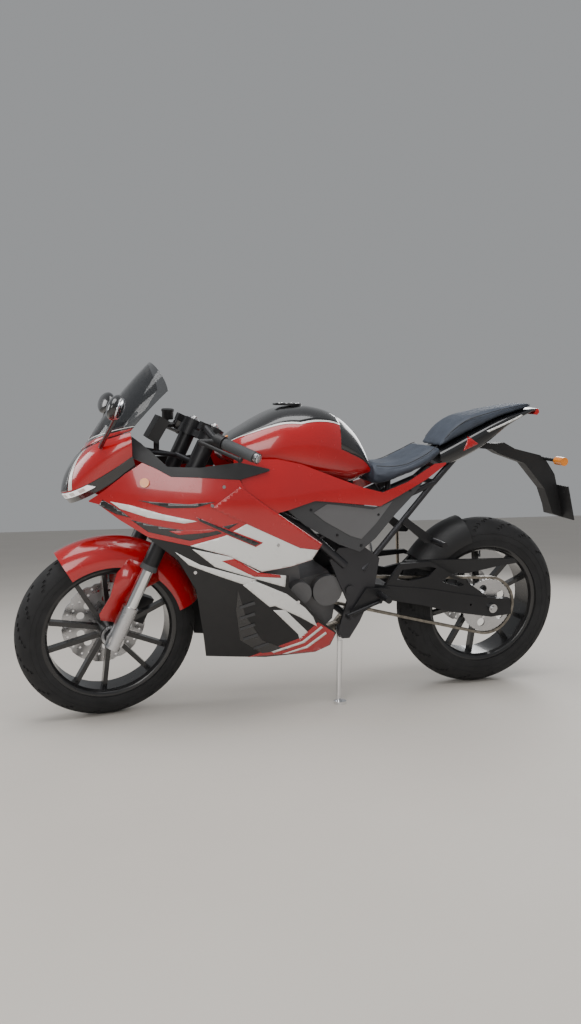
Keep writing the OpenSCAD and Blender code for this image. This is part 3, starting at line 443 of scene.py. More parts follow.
# %% Side panels, frame covers and cockpit trim
side_high = [(-470, 842), (-424, 838), (-316, 780), (-220, 748), (-148, 766), (-61, 797), (76, 848),
             (160, 866),
             (300, 866)]
side_low = [(-470, 836), (-390, 787), (-282, 735), (-211, 702), (-90, 716), (28, 730), (119, 709), (163, 701),
            (199, 724), (270, 777), (282, 807), (300, 845)]
side = panels("side_panel_skin", drawn(side_high, side_low), side_y, red_paint)
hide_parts("side_panels")
cover_high = [(-383, 783), (-275, 730), (-205, 698), (33, 729), (123, 707)]
cover_low = [(-383, 779), (-348, 739), (-278, 673), (-202, 590), (-146, 548), (-68, 578), (62, 652),
             (123, 703)]
cover = panels("frame_cover_skin", drawn(cover_high, cover_low), cover_y, cover_grey)
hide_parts("frame_covers")
trim_high = [(190, 838), (283, 858), (403, 842), (500, 844), (547, 890), (600, 930)]
trim_low = [(190, 832), (285, 806.8), (406, 813.8), (491, 815.8), (534, 838.8), (573, 855.8), (600, 868)]
trim = panels("cockpit_trim_skin", drawn(trim_high, trim_low), trim_y, matte_black, wall=3)
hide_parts("cockpit_trim")
print("side panels, covers and trim")

# %% [markdown]
# ## Painted layers
#
# The graphics of a race style paint job are flat shapes of colour with sharp edges. Each one is
# its own very thin skin that follows the same surface as its panel, a fraction of a millimetre
# proud, like a film. Where one layer is meant to cover another, it lies higher.

# %% Colour layers on the upper fairing
film = 0.45
layers = [
    ("white_wing", [(437, 606), (332, 636), (255, 678), (163, 700), (14, 596), (46, 546), (119, 527),
                    (211, 515), (321, 573)], white_paint, 0.7),
    ("red_wing", [(372, 723), (286, 785), (270, 774), (199, 722), (163, 699), (14, 595), (27, 577),
                  (89, 587)], red_paint, 1.4),
    ("slot_border", [(424, 699), (212, 611), (235, 598), (411, 678)], red_paint, 2.0),
    ("black_slot", [(418, 695), (222, 610), (238, 602), (408, 682)], black_paint, 2.6),
    ("dark_sweep", [(560, 648), (437, 622), (345, 643), (290, 676), (345, 664), (430, 650), (540, 668),
                    (610, 684)], black_paint, 0.9),
    ("white_sweep", [(640, 716), (560, 692), (455, 676), (415, 682), (520, 704), (610, 728), (668, 736)],
     white_paint, 0.9),
    ("red_dart", [(470, 640), (380, 648), (330, 660), (400, 656), (500, 652)], red_paint, 1.5),
    ("black_dart_high", [(590, 744), (500, 722), (420, 724), (360, 742), (440, 734), (520, 738)],
     black_paint, 0.9),
    ("black_dart_low", [(700, 722), (650, 698), (610, 690), (655, 722), (690, 740)], black_paint, 1.2),
]
for name, outline, made_of, lift in layers:
    panels(name, outline, fairing_y, made_of, lift=lift, wall=film, edge=0)
print(len(layers), "upper layers")

# %% Colour layers on the lower fairing
lower_layers = [
    ("spear_high", [(431, 596), (315, 569), (216, 512), (130, 497), (130, 457), (360, 537)], white_paint,
     0.6),
    ("spear_red", [(300, 562), (225, 514), (150, 500), (146, 490), (236, 500), (340, 556)], red_paint, 1.1),
    ("spear_middle", [(482, 587), (406, 545), (225, 488), (263, 473), (359, 511), (440, 545)], white_paint,
     0.6),
    ("spear_low", [(270, 473), (232, 485), (122, 432), (53, 376), (20, 339), (0, 300), (67, 343), (158, 392),
                   (175, 389)], white_paint, 0.6),
    ("chevron", [(163, 377), (122, 374), (30, 281), (54, 252), (65, 277)], white_paint, 0.6),
    ("red_chin", [(228, 199), (55, 260), (-1, 317), (-72, 266), (-60, 219), (-10, 196)], red_paint, 0.6),
    ("chin_stripe_high", [(150, 214), (46, 246), (-14, 300), (-22, 294), (38, 238), (140, 208)], white_paint,
     1.1),
    ("chin_stripe_low", [(110, 200), (30, 224), (-34, 276), (-40, 268), (22, 216), (90, 200)], white_paint,
     1.1),
]
for name, outline, made_of, lift in lower_layers:
    panels(name, outline, fairing_y, made_of, lift=lift, wall=film, edge=0)
print(len(lower_layers), "lower layers")

# %% The sunk outlet with its ribs
outlet = [(285, 457), (255, 366), (188, 265), (92, 216), (181, 211), (263, 272), (286, 386)]
panels("outlet_frame", outlet, fairing_y, black_paint, lift=1.0, wall=1.0, edge=0.4)
for k in range(5):
    low = 236 + k * 40
    front = curve(low, [(216, 196), (272, 258), (386, 282), (457, 286)])
    rib = [(front - 58, low + 8), (front - 8, low - 6), (front - 6, low + 3), (front - 54, low + 18)]
    panels(f"outlet_rib_{k}", rib, fairing_y, cover_grey, lift=3.0, wall=2.0, edge=0.4)
print("outlet with five ribs")

# %% [markdown]
# ## Nose, mask and windscreen
#
# The front is one wrapped surface between a lower rail and an upper rail, which swing from one
# side to the other. A grid is bent between the rails, with a little bulge, and given a wall.


# %% Rails of the nose
def cosd(a):
    return math.cos(math.radians(a))


def sind(a):
    return math.sin(math.radians(a))


def nose_low(a):
    return Vector((601 + 211 * cosd(a), 160 * sind(a), 748 + 126 * (1 - cosd(a)) ** 1.2))


def nose_high(a):
    return Vector((606 + 136 * cosd(a), 150 * sind(a), 876 + 71 * (1 - cosd(a)) ** 0.6))


def screen_high(a):
    return Vector((491 + 42 * cosd(a), 140 * sind(a), 1070 + 88 * max(0, cosd(a)) ** 0.7))


def mask_low(a):
    s = sind(a)
    return Vector((590 + 195 * cosd(a), 151.9 * math.copysign(abs(s) ** 1.5, s),
                   712 + 128 * (1 - cosd(a)) ** 1.1))


def between(low, high, a, t, bulge):
    return low(a).lerp(high(a), t) + bulge * 4 * t * (1 - t) * Vector((cosd(a), sind(a), 0.5))


def wrapped(low, high, bulge, t0=0, t1=1, across=64, along=18, out=0.0, narrow=None):
    """A grid bent between two rails. narrow gives the first and last angle for each height."""
    shape = bmesh.new()
    bmesh.ops.create_grid(shape, x_segments=across, y_segments=along, size=0.5)
    for v in shape.verts:
        t = t0 + (t1 - t0) * (v.co.y + 0.5)
        first, last = narrow(v.co.y + 0.5) if narrow else (-90, 90)
        a = first + (last - first) * (v.co.x + 0.5)
        v.co = between(low, high, a, t, bulge) + out * Vector((cosd(a), sind(a), 0.3))
    shape.normal_update()
    if sum(f.normal.x for f in shape.faces) < 0:
        bmesh.ops.reverse_faces(shape, faces=shape.faces[:])
    return shape


# %% Nose, mask and windscreen
nose_bulge, screen_bulge = 14, 12
nose = add_piece("nose_skin", wrapped(nose_low, nose_high, nose_bulge), BIKE, "chassis", red_paint, wall=4,
                 edge=1.2, smooth=60)
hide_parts("nose_cowl")
mask = add_piece("mask_skin", wrapped(mask_low, nose_low, 0, t1=0.985, along=12), BIKE, "chassis",
                 black_paint, wall=4, edge=1.0, smooth=60)
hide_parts("headlight_mask")
screen = add_piece("windscreen_skin", wrapped(nose_high, screen_high, screen_bulge, t0=0.005, along=22),
                   BIKE, "chassis", screen_glass, wall=3, edge=0.8, smooth=60)
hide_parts("windscreen")
print("nose, mask and screen")

# %% Stripes of the nose and the band under the screen
def nose_layer(name, made_of, out, narrow, t0=0.0, t1=1.0):
    shape = wrapped(nose_low, nose_high, nose_bulge, t0=t0, t1=t1, across=20, along=22, out=out,
                    narrow=narrow)
    return add_piece(name, shape, BIKE, "chassis", made_of, wall=film, smooth=60)


nose_layer("nose_black_centre", black_paint, 0.6, lambda v: (-26 + 8 * v, 26 - 8 * v), t0=0.02, t1=0.98)
nose_layer("nose_stripe_left", white_paint, 1.0, lambda v: (27 - 8 * v, 33 - 9 * v), t0=0.02, t1=0.98)
nose_layer("nose_stripe_right", white_paint, 1.0, lambda v: (-33 + 9 * v, -27 + 8 * v), t0=0.02, t1=0.98)


def screen_band(name, made_of, low, high):
    shape = wrapped(nose_high, screen_high, screen_bulge, t0=low, t1=high, across=64, along=3, out=0.7)
    add_piece(name, shape, BIKE, "chassis", made_of, wall=0.5, smooth=60)


screen_band("screen_band_red", red_paint, 0.02, 0.075)
screen_band("screen_band_black", black_paint, 0.076, 0.105)
screen_band("screen_band_white", white_paint, 0.106, 0.118)
print("nose stripes and screen bands")


# %% [markdown]
# ## Headlights
#
# Each lamp is a slanted bright strip under the nose: a white lens with three small bars on it,
# over a dark rim.

# %% Lamps
def lamp(side_sign):
    def span(v):
        ends = (8 + 3 * v, 56 - 5 * v)
        return ends if side_sign > 0 else (-ends[1], -ends[0])
    name = "left" if side_sign > 0 else "right"
    glass = wrapped(mask_low, nose_low, 0, t0=0.4, t1=0.85, across=30, along=6, out=5.0, narrow=span)
    lens = add_piece(f"lamp_{name}", glass, BIKE, "chassis", lamp_white, wall=3.6, edge=0.8, smooth=60)
    rim = wrapped(mask_low, nose_low, 0, t0=0.3, t1=0.39, across=30, along=3, out=5.4, narrow=span)
    add_piece(f"lamp_rim_{name}", rim, BIKE, "chassis", black_paint, wall=4.5, edge=0.8, smooth=60)
    for k in range(3):
        def bar(v, first=14 + k * 13):
            ends = (first, first + 7)
            return ends if side_sign > 0 else (-ends[1], -ends[0])
        shape = wrapped(mask_low, nose_low, 0, t0=0.47, t1=0.78, across=6, along=4, out=6.2, narrow=bar)
        add_piece(f"lamp_bar_{name}_{k}", shape, BIKE, "chassis", bright_white, wall=1.0, edge=0.3, smooth=60)
    return lens


left_lamp, right_lamp = lamp(1), lamp(-1)
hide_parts("headlights")
print("two lamps")

# %% [markdown]
# ## Tank, tail and seats
#
# These are closed rounded bodies. A ring is wrapped through sections that follow the side view
# for height and the plan for width, and the ends are filled.


# %% A body lofted through rounded sections
def powered(v, p):
    return math.copysign(abs(v) ** p, v)


def lofted(x0, x1, foot, top, half, waist, p, rings=56, around=48, shrink=0.0):
    shape = bmesh.new()
    bmesh.ops.create_grid(shape, x_segments=around, y_segments=rings, size=0.5)
    for v in shape.verts:
        x = x0 + (x1 - x0) * (v.co.y + 0.5)
        a = math.tau * (v.co.x + 0.5)
        low, high = curve(x, foot) + shrink, curve(x, top) - shrink
        w = max(4, curve(x, half) - shrink)
        middle = low + (high - low) * waist
        tall = (high - middle) if math.sin(a) > 0 else (middle - low)
        v.co = (x, w * powered(math.cos(a), p), middle + tall * powered(math.sin(a), p))
    bmesh.ops.remove_doubles(shape, verts=shape.verts[:], dist=0.01)
    bmesh.ops.holes_fill(shape, edges=[e for e in shape.edges if e.is_boundary], sides=0)
    bmesh.ops.recalc_face_normals(shape, faces=shape.faces[:])
    return shape


# %% Tank
tank_top = [(-206, 838), (-190, 880), (-163, 927), (-125, 968), (-70, 1005), (12, 1027), (60, 1027),
            (120, 1017),
            (167, 996), (224, 963), (288, 920), (304, 900)]
tank_foot = [(-206, 800), (-138, 770), (-61, 775), (76, 790), (200, 800), (304, 850)]
tank_half = [(-206, 62), (-170, 78), (-100, 112), (-20, 145), (80, 166), (180, 160), (260, 132), (304, 96)]
tank_waist, tank_round = 0.36, 0.72
shape = lofted(-206, 304, tank_foot, tank_top, tank_half, tank_waist, tank_round, rings=72, around=64)
tank = add_piece("tank_skin", shape, BIKE, "chassis", red_paint, smooth=50)
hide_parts("tank")
print("tank", [round(s, 3) for s in tank.dimensions])


# %% Paint on the tank: a black centre with a thin white line, and a black rear
def tank_point(x, a, out):
    low, high, w = curve(x, tank_foot), curve(x, tank_top), curve(x, tank_half)
    middle = low + (high - low) * tank_waist
    tall = (high - middle) if sind(a) > 0 else (middle - low)
    point = Vector((x, w * powered(cosd(a), tank_round), middle + tall * powered(sind(a), tank_round)))
    return point + out * Vector((0, cosd(a), sind(a))).normalized()


def tank_layer(name, made_of, out, x0, x1, low_angle, high_angle, steps=40):
    shape = bmesh.new()
    bmesh.ops.create_grid(shape, x_segments=20, y_segments=steps, size=0.5)
    for v in shape.verts:
        x = x0 + (x1 - x0) * (v.co.y + 0.5)
        a = low_angle(x) + (high_angle(x) - low_angle(x)) * (v.co.x + 0.5)
        v.co = tank_point(x, a, out)
    shape.normal_update()
    if sum(f.normal.z for f in shape.faces) < 0:
        bmesh.ops.reverse_faces(shape, faces=shape.faces[:])
    return add_piece(name, shape, BIKE, "chassis", made_of, wall=0.5, smooth=60)


def stripe_edge(x):
    return 36 + 18 * min(1, abs(x - 70) / 230)


tank_layer("tank_black_centre", black_paint, 0.8, -80, 300, stripe_edge, lambda x: 180 - stripe_edge(x))
tank_layer("tank_line_left", white_paint, 1.2, -80, 296, lambda x: stripe_edge(x) - 3, stripe_edge)
tank_layer("tank_line_right", white_paint, 1.2, -80, 296, lambda x: 180 - stripe_edge(x),
           lambda x: 183 - stripe_edge(x))
tank_layer("tank_black_rear", black_paint, 0.8, -204, -78, lambda x: 8, lambda x: 172)
print("tank paint")

# %% [markdown]
# ## Seats
#
# Foam under a tight cover swells between its edges. Each seat starts a little smaller than its
# room, is remeshed evenly and is blown up a few millimetres by a cloth simulation with
# pressure, then capped so that it stays in its room. Seams are thin round lines laid on it after.

# %% A padded seat by cloth simulation
def padded_seat(name, part, shape, cap):
    shape.transform(BIKE)
    data = bpy.data.meshes.new(name)
    shape.to_mesh(data)
    shape.free()
    data.materials.append(seat_blue)
    pad = bpy.data.objects.new(name, data)
    bpy.context.scene.collection.objects.link(pad)
    remesh = pad.modifiers.new("even", "REMESH")
    remesh.mode = "VOXEL"
    remesh.voxel_size = 0.006
    bpy.context.view_layer.update()
    even = bpy.data.meshes.new_from_object(pad.evaluated_get(bpy.context.evaluated_depsgraph_get()))
    pad.modifiers.clear()
    pad.data = even
    start = [v.co.copy() for v in even.vertices]
    cloth = pad.modifiers.new("cover", "CLOTH")
    cloth.settings.use_pressure = True
    cloth.settings.uniform_pressure_force = 4
    cloth.settings.effector_weights.gravity = 0
    cloth.settings.tension_stiffness = 40
    cloth.settings.compression_stiffness = 40
    for step in range(1, 21):
        bpy.context.scene.frame_set(step)
    blown = pad.evaluated_get(bpy.context.evaluated_depsgraph_get()).to_mesh()
    ends = [v.co.copy() for v in blown.vertices]
    pad.modifiers.clear()
    bpy.context.scene.frame_set(1)
    for v, a, b in zip(even.vertices, start, ends):
        way = b - a
        v.co = a + way * min(1, cap / 1000 / max(way.length, 1e-9))
    even.polygons.foreach_set("use_smooth", [True] * len(even.polygons))
    finer = pad.modifiers.new("finer", "SUBSURF")
    finer.levels = finer.render_levels = 1
    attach(pad, "chassis")
    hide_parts(part)
    return pad


# %% Seats
seat_waist, seat_round = 0.5, 0.55
rider_top = [(-452, 905), (-435, 902), (-400, 882), (-372, 868), (-317, 844), (-261, 837), (-200, 841),
             (-176, 838),
             (-160, 822)]
rider_foot = [(-452, 871), (-419, 845), (-325, 801), (-224, 765), (-176, 769), (-160, 777)]
rider_half = [(-452, 100), (-400, 122), (-330, 128), (-260, 112), (-200, 88), (-160, 76)]
rider = padded_seat("rider_seat_cover", "rider_seat",
                    lofted(-210, -450, rider_foot, rider_top, rider_half, seat_waist, seat_round, rings=40,
                           shrink=4), 6)
pillion_top = [(-840, 1046), (-815, 1047), (-726, 1036), (-627, 1017), (-541, 990), (-500, 957), (-475, 925),
               (-458, 900)]
pillion_foot = [(-840, 1032), (-796, 1023), (-697, 998), (-575, 946), (-477, 896), (-458, 886)]
pillion_half = [(-840, 38), (-815, 50), (-726, 74), (-627, 88), (-541, 92), (-475, 84), (-458, 78)]
pillion = padded_seat("pillion_seat_cover", "pillion_seat",
                      lofted(-838, -460, pillion_foot, pillion_top, pillion_half, seat_waist, seat_round,
                             rings=60, shrink=3), 4)
print("seats", len(rider.data.vertices), len(pillion.data.vertices))

# %% Tubes along a line
def tube(name, points, r, place, body, made_of, sides=12):
    line = bpy.data.curves.new(name, "CURVE")
    line.dimensions = "3D"
    line.bevel_depth = r
    line.bevel_resolution = max(1, sides // 4 - 1)
    line.use_fill_caps = True
    spline = line.splines.new("NURBS")
    spline.points.add(len(points) - 1)
    for target, p in zip(spline.points, points):
        target.co = (*p, 1)
    spline.order_u = 3
    spline.use_endpoint_u = True
    spline.resolution_u = 6
    holder = bpy.data.objects.new(name + "_line", line)
    shape = bmesh.new()
    shape.from_mesh(holder.to_mesh())
    bpy.data.objects.remove(holder)
    bmesh.ops.remove_doubles(shape, verts=shape.verts[:], dist=0.001)
    return add_piece(name, shape, place, body, made_of, smooth=60)


# %% Seams along the shoulders of the seats
def seat_seam(name, top, foot, half, x0, x1, angle, proud):
    for side_sign in (1, -1):
        points = []
        for k in range(25):
            x = x0 + (x1 - x0) * k / 24
            low, high = curve(x, foot), curve(x, top)
            middle = low + (high - low) * seat_waist
            points.append((x, side_sign * (curve(x, half) * powered(cosd(angle), seat_round) + proud),
                           middle + (high - middle) * powered(sind(angle), seat_round) + proud))
        tube(f"{name}_{'left' if side_sign > 0 else 'right'}", points, 1.4, BIKE, "chassis", matte_black,
             sides=8)


seat_seam("rider_seam", rider_top, rider_foot, rider_half, -220, -440, 38, -0.6)
seat_seam("pillion_seam", pillion_top, pillion_foot, pillion_half, -475, -820, 32, -0.6)
print("seams")

# %% Tail cowl
tail_top = [(-858, 1030), (-840, 1031), (-796, 1021), (-697, 996), (-575, 944), (-477, 892), (-400, 850)]
tail_foot = [(-858, 1022), (-825, 1012), (-723, 962), (-647, 905), (-597, 873), (-472, 822), (-400, 812)]
tail_half = [(-858, 34), (-825, 50), (-726, 76), (-627, 88), (-541, 92), (-470, 90), (-400, 88)]
tail_waist = 0.55
cowl = add_piece("tail_cowl_skin", lofted(-858, -456, tail_foot, tail_top, tail_half, tail_waist, 0.5,
                                          rings=60), BIKE,
                 "chassis", black_paint, smooth=50)
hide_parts("tail_cowl")


def tail_y(x, z):
    low, high = curve(x, tail_foot), curve(x, tail_top)
    middle = low + (high - low) * tail_waist
    tall = (high - middle) if z > middle else (middle - low)
    share = min(0.999, abs(z - middle) / max(1, tall))
    return curve(x, tail_half) * (1 - share ** 4) ** 0.25


panels("tail_triangle", [(-600, 905), (-560, 930), (-540, 880)], tail_y, red_paint, lift=0.8, wall=0.5,
       edge=0)
panels("tail_line", [(-790, 1004), (-640, 946), (-630, 950), (-780, 1008)], tail_y, white_paint, lift=0.8,
       wall=0.5, edge=0)
print("tail cowl")

# %% [markdown]
# ## Wheels and tyres
#
# A tyre is a spun profile. The tread of a sport tyre has few, long, slanted grooves, which are
# cut as narrow sunk strips. The rim lip is glossy, and the spokes come from the model.

# %% Tyres
bead_r = 222
tread_repeat, tread_slant, groove_width = 20, 26, 2.6


def tyre_arc(r, crown, steps=26):
    """Points of the outer arc from bead to bead."""
    points = []
    for k in range(steps + 1):
        a = -118 + 236 * k / steps
        points.append((r - crown + crown * cosd(a), crown * sind(a)))
    return points


def tyre(name, part, place, body, r, crown):
    shape = bmesh.new()
    arc = [p for p in tyre_arc(r, crown) if p[0] > bead_r]
    inner = [(bead_r - 4, arc[-1][1] * 0.98), (bead_r - 5, 0), (bead_r - 4, arc[0][1] * 0.98)]
    spun(shape, arc + inner, steps=144)
    grooves = []
    for face in shape.faces:
        middle = face.calc_center_median()
        around = math.degrees(math.atan2(middle.z, middle.x)) % tread_repeat
        outward = math.hypot(middle.x, middle.z)
        across = abs(middle.y) / crown
        slant = (around + across * tread_slant) % tread_repeat
        if outward > r - crown * 0.62 and 0.14 < across < 0.86 and slant < groove_width:
            grooves.append(face)
    bmesh.ops.inset_region(shape, faces=grooves, thickness=0.5, depth=-3.0, use_even_offset=True)
    bmesh.ops.recalc_face_normals(shape, faces=shape.faces[:])
    piece = add_piece(name, shape, place, body, tyre_rubber, smooth=32)
    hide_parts(part)
    for sign in (1, -1):
        for radius, thick in ((r - crown * 0.72, 1.1), (r - crown * 1.02, 0.9)):
            y = sign * math.sqrt(max(0, crown ** 2 - (radius - r + crown) ** 2))
            band = bmesh.new()
            spun(band, [(radius - 1.4, y - sign * 0.5), (radius + 1.4, y - sign * 0.5),
                        (radius + 0.9, y + sign * thick),
                        (radius - 0.9, y + sign * thick)], steps=96)
            add_piece(f"{name}_band_{'l' if sign > 0 else 'r'}_{int(radius)}", band, place, body,
                      tyre_rubber, smooth=50)
    return piece


front = tyre("front_tyre_skin", "front_tyre", FRONT_WHEEL, "front_wheel", front_r, 55)
rear = tyre("rear_tyre_skin", "rear_tyre", REAR_WHEEL, "rear_wheel", rear_r, 70)
print("tyres", len(front.data.polygons), len(rear.data.polygons))


# %% Rim edges, valves and hub rings
def rim_dressing(name, place, body, half, hub, left):
    for sign in (1, -1):
        shape = bmesh.new()
        y = sign * (half + 0.4)
        spun(shape, [(204, y - sign * 3), (214, y - sign * 2.4), (224.5, y - sign * 1),
                     (225.5, y + sign * 1.6),
                     (222, y + sign * 2.2), (206, y - sign * 0.4)], steps=96)
        add_piece(f"{name}_lip_{'l' if sign > 0 else 'r'}", shape, place, body, wheel_black, smooth=60)
    valve = bmesh.new()
    rod(valve, (0, 12, 204), (0, 12, 176), 4, 3, sides=16)
    rod(valve, (0, 12, 176), (0, 12, 166), 4.4, sides=16)
    add_piece(f"{name}_valve", valve, place, body, grip_rubber)
    ring = bmesh.new()
    spun(ring, [(hub - 12, left), (hub - 3, left), (hub - 3, left + 3), (hub - 12, left + 3)], steps=64)
    add_piece(f"{name}_hub_ring", ring, place, body, steel, edge=0.5)


rim_dressing("front_rim", FRONT_WHEEL, "front_wheel", 44, 38, 62)
rim_dressing("rear_rim", REAR_WHEEL, "rear_wheel", 57, 46, 80)
print("rim lips, valves and hub rings")

# %% [markdown]
# ## Finishes of the model's own parts
#
# Parts whose shape is already right keep it and get a finish. Where only the facets of a curved
# skin would show, a merged copy with smooth shading stands for the part.

# %% Finishes by part
own = {
    "frame": frame_metal, "engine": engine_alloy, "radiator": black_metal, "exhaust": pipe_steel,
    "swingarm": black_metal, "chain": chain_steel, "rear_shock": steel, "rear_axle": steel,
    "fuel_cap": black_metal, "tail_light": red_lens, "plate_hanger": matte_black,
    "turn_signals": amber_lens, "instrument": matte_black, "foot_controls": black_metal,
    "side_stand": chrome, "triple_clamps": black_metal, "fork_tubes": black_metal,
    "fork_stanchions": chrome, "handlebars": black_metal, "front_caliper": black_metal,
    "front_axle": steel, "front_rim": wheel_black, "front_disc": steel, "rear_rim": wheel_black,
    "rear_disc": steel, "sprocket": steel, "hand_controls": matte_black, "rear_guards": matte_black,
}
for part, made_of in own.items():
    for held in nodes[part].material_slots:
        held.material = made_of
print(len(own), "parts finished")

# %% Smooth copies
copied("fender_skin", "front_fender", "steering", red_paint, smooth=40)
copied("mirror_skin", "mirrors", "chassis", black_paint, smooth=60)
print("fender and mirrors")

# %% [markdown]
# ## Fork details and bolts
#
# The bright tube slides into a seal at the foot of the black upper tube, which ends in a cap
# above the upper clamp. Bolts hold the fairings, covers, discs and sprocket.

# %% Fork seals and caps
fork_half, fork_top = 102, 742
from_world = FORK.inverted()
tube_foot = min((from_world @ v.co).z for v in nodes["fork_tubes"].data.vertices)
seal_profile = [(20.5, -6), (27.5, -6), (28.5, -2), (27, 6), (26.2, 12), (20.5, 12)]
for sign, side_name in ((1, "left"), (-1, "right")):
    shape = bmesh.new()
    spun(shape, seal_profile, axis="Z", steps=48)
    bmesh.ops.translate(shape, verts=shape.verts[:], vec=(0, sign * fork_half, 0))
    bmesh.ops.translate(shape, verts=shape.verts[:], vec=(0, 0, tube_foot + 4))
    add_piece(f"fork_seal_{side_name}", shape, FORK, "steering", grip_rubber, smooth=40)
    cap = bmesh.new()
    rod(cap, (0, sign * fork_half, fork_top), (0, sign * fork_half, fork_top + 8), 17, 15)
    rod(cap, (0, sign * fork_half, fork_top + 6), (0, sign * fork_half, fork_top + 14), 8, sides=6)
    add_piece(f"fork_cap_{side_name}", cap, FORK, "steering", steel, edge=0.5)
print("fork tube foot at", round(tube_foot), "mm up the fork")


# %% Bolts by the dozen
def bolts(name, places, way, r, place, body, made_of):
    """Round heads with a small raised hexagon, at places, facing way."""
    shape = bmesh.new()
    way = Vector(way).normalized()
    for p in places:
        p = Vector(p)
        rod(shape, p - way * 1, p + way * (0.45 * r), r, r * 0.86, sides=20)
        rod(shape, p + way * (0.45 * r), p + way * (0.55 * r), r * 0.5, sides=6)
    return add_piece(name, shape, place, body, made_of, smooth=35)


fairing_bolts = [(335, 786), (163, 601), (372, 730), (560, 800), (420, 520), (80, 400)]
cover_bolts = [(40, 700), (-60, 610), (-150, 570), (-210, 672), (-330, 750)]
for sign, side_name in ((1, "left"), (-1, "right")):
    bolts(f"fairing_bolts_{side_name}", [(x, sign * (fairing_y(x, z) + 1.2), z) for x, z in fairing_bolts],
          (0, sign, 0.1), 6, BIKE, "chassis", chrome)
    bolts(f"cover_bolts_{side_name}", [(x, sign * (cover_y(x, z) + 0.6), z) for x, z in cover_bolts],
          (0, sign, 0.1), 5, BIKE, "chassis", black_metal)
cap_x, cap_ring, cap_face = 70, 33, 1035.6
cap_places = [(cap_x + cap_ring * cosd(a), cap_ring * sind(a), cap_face) for a in range(0, 360, 60)]
bolts("cap_bolts", cap_places, (0, 0, 1), 3.2, BIKE, "fuel_cap", chrome)


def ring_of_bolts(name, ring, face, side_sign, r, place, body):
    """Five bolts on a circle round a wheel's axle."""
    places = [(ring * cosd(a), face, ring * sind(a)) for a in range(0, 360, 72)]
    bolts(name, places, (0, side_sign, 0), r, place, body, chrome)


ring_of_bolts("front_disc_bolts", 52, -66.3, -1, 5, FRONT_WHEEL, "front_wheel")
ring_of_bolts("rear_disc_bolts", 56, -86.3, -1, 5, REAR_WHEEL, "rear_wheel")
ring_of_bolts("sprocket_bolts", 44, 87.2, 1, 6, REAR_WHEEL, "rear_wheel")
print("bolts")

# %% Inset of the frame covers
inset_line = [(-20, 716), (-190, 690), (-262, 716), (-200, 640), (-150, 592), (-110, 604), (-10, 660),
              (30, 690)]
panels("cover_inset", inset_line, cover_y, inset_grey, lift=1.6, wall=1.6, edge=0.6)
print("inset of the covers")

# %% [markdown]
# ## Bars, grips and levers
#
# The grips are ribbed rubber sleeves with metal ends. The front brake's reservoir stands on the
# right bar, and each lever has a round ball end. The mirrors get their glass here too.

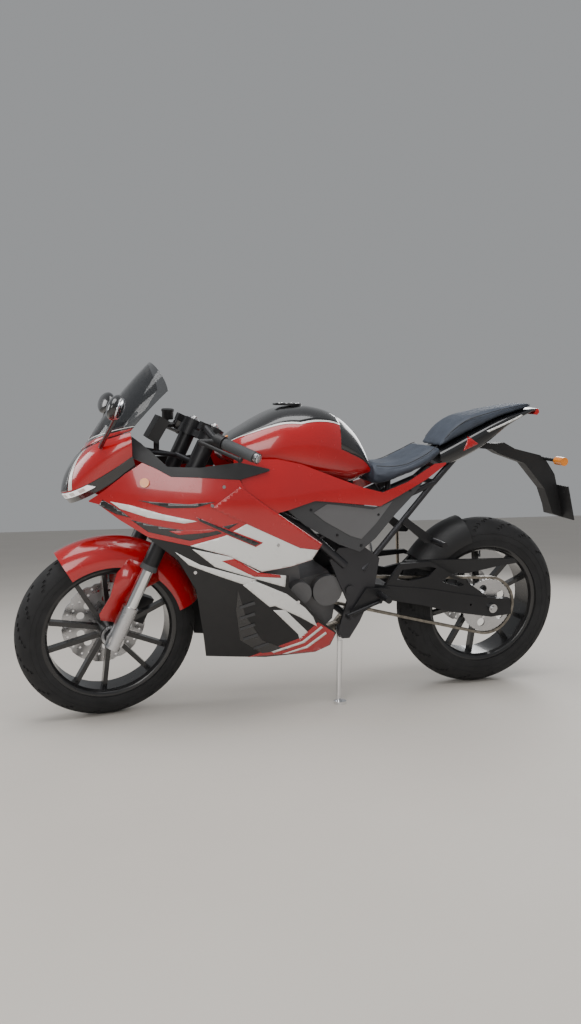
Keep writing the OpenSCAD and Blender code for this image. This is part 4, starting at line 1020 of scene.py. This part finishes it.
# %% Grips, bar ends and lever balls
grip_in, grip_out = Vector((388, 190, 942)), Vector((300, 318, 902))
grip_way = (grip_out - grip_in).normalized()
grip_bore, ribs, rib_pitch = 14, 22, 5
for sign, side_name in ((1, "left"), (-1, "right")):
    flip = Matrix.Diagonal((1, sign, 1, 1))
    way = (grip_way.to_track_quat("Z", "Y")).to_matrix().to_4x4()
    base = Matrix.Translation(grip_in + grip_way * 36) @ way
    profile = [(grip_bore, 0)]
    for k in range(ribs):
        at = 2 + k * rib_pitch
        profile += [(16.4, at), (16.4, at + 2.6), (17.3, at + 3.2), (17.3, at + 4.6)]
    profile += [(grip_bore, ribs * rib_pitch + 4)]
    sleeve = bmesh.new()
    spun(sleeve, profile, axis="Z", steps=40)
    bmesh.ops.transform(sleeve, matrix=flip @ base, verts=sleeve.verts[:])
    bmesh.ops.recalc_face_normals(sleeve, faces=sleeve.faces[:])
    add_piece(f"grip_{side_name}", sleeve, STEERED, "steering", grip_rubber, smooth=30)
    end = bmesh.new()
    spun(end, [(0.1, 0), (15, 0), (16, 3), (16, 12), (12, 17), (0.1, 18)], axis="Z", steps=40)
    bmesh.ops.transform(end, matrix=flip @ Matrix.Translation(grip_out - grip_way * 10) @ way,
                        verts=end.verts[:])
    bmesh.ops.recalc_face_normals(end, faces=end.faces[:])
    add_piece(f"bar_end_{side_name}", end, STEERED, "steering", steel, smooth=40)
    ball = bmesh.new()
    bmesh.ops.create_uvsphere(ball, u_segments=20, v_segments=12, radius=8.5)
    tip_at = grip_out + Vector((52, -8, -4))
    bmesh.ops.translate(ball, verts=ball.verts[:], vec=(tip_at.x, sign * tip_at.y, tip_at.z))
    add_piece(f"lever_ball_{side_name}", ball, STEERED, "steering", black_metal, smooth=60)
    switches = bmesh.new()
    for k, (dx, dz) in enumerate(((-14, 8), (-16, -4), (-12, 16))):
        at = grip_in + grip_way * (12 + 6 * k) + Vector((dx, 0, dz))
        rod(switches, (at.x, sign * at.y, at.z), (at.x - 8, sign * at.y, at.z + 3), 4 - k * 0.5, sides=16)
    add_piece(f"switches_{side_name}", switches, STEERED, "steering", amber_lens if sign > 0 else red_lens,
              smooth=40)
print("grips and levers")

# %% Brake reservoir
pot = bmesh.new()
spun(pot, [(0.1, 0), (19, 0), (20, 3), (20, 26), (22, 27), (22, 34), (18, 36), (0.1, 36)], axis="Z", steps=48)
pot_place = (420, -208, 956)
bmesh.ops.translate(pot, verts=pot.verts[:], vec=pot_place)
add_piece("brake_pot", pot, STEERED, "steering", matte_black, smooth=40)
hose = [(420, -208, 958), (424, -205, 940), (428, -196, 928), (424, -190, 930)]
tube("brake_pot_stub", hose, 4.5, STEERED, "steering", grip_rubber)
print("brake pot")

# %% Dial
screen_face = bmesh.new()
bmesh.ops.create_cube(screen_face, size=1, matrix=Matrix.Diagonal((2.4, 116, 62, 1)))
bmesh.ops.bevel(screen_face, geom=screen_face.edges[:], offset=1, segments=2, profile=0.5, affect="EDGES",
                material=-1)
dial_place = BIKE @ moved(512, 0, 948) @ turned(-30, "Y") @ moved(-18.4, 0, 0)
add_piece("dial", screen_face, dial_place, "chassis", dial_face, smooth=30)
print("dial")

# %% Mirror glass
for sign, side_name in ((1, "left"), (-1, "right")):
    glass = bmesh.new()
    bmesh.ops.create_uvsphere(glass, u_segments=36, v_segments=18, radius=1)
    glass_place = (Matrix.Diagonal((1, sign, 1, 1)) @ moved(655, 262, 1022) @ turned(-14, "Z")
                   @ turned(-20, "Y") @ moved(-13, 0, 0) @ Matrix.Diagonal((10, 52, 32, 1)))
    bmesh.ops.transform(glass, matrix=glass_place, verts=glass.verts[:])
    bmesh.ops.recalc_face_normals(glass, faces=glass.faces[:])
    add_piece(f"mirror_glass_{side_name}", glass, BIKE, "chassis", mirror_glass, smooth=60)
print("mirror glass")
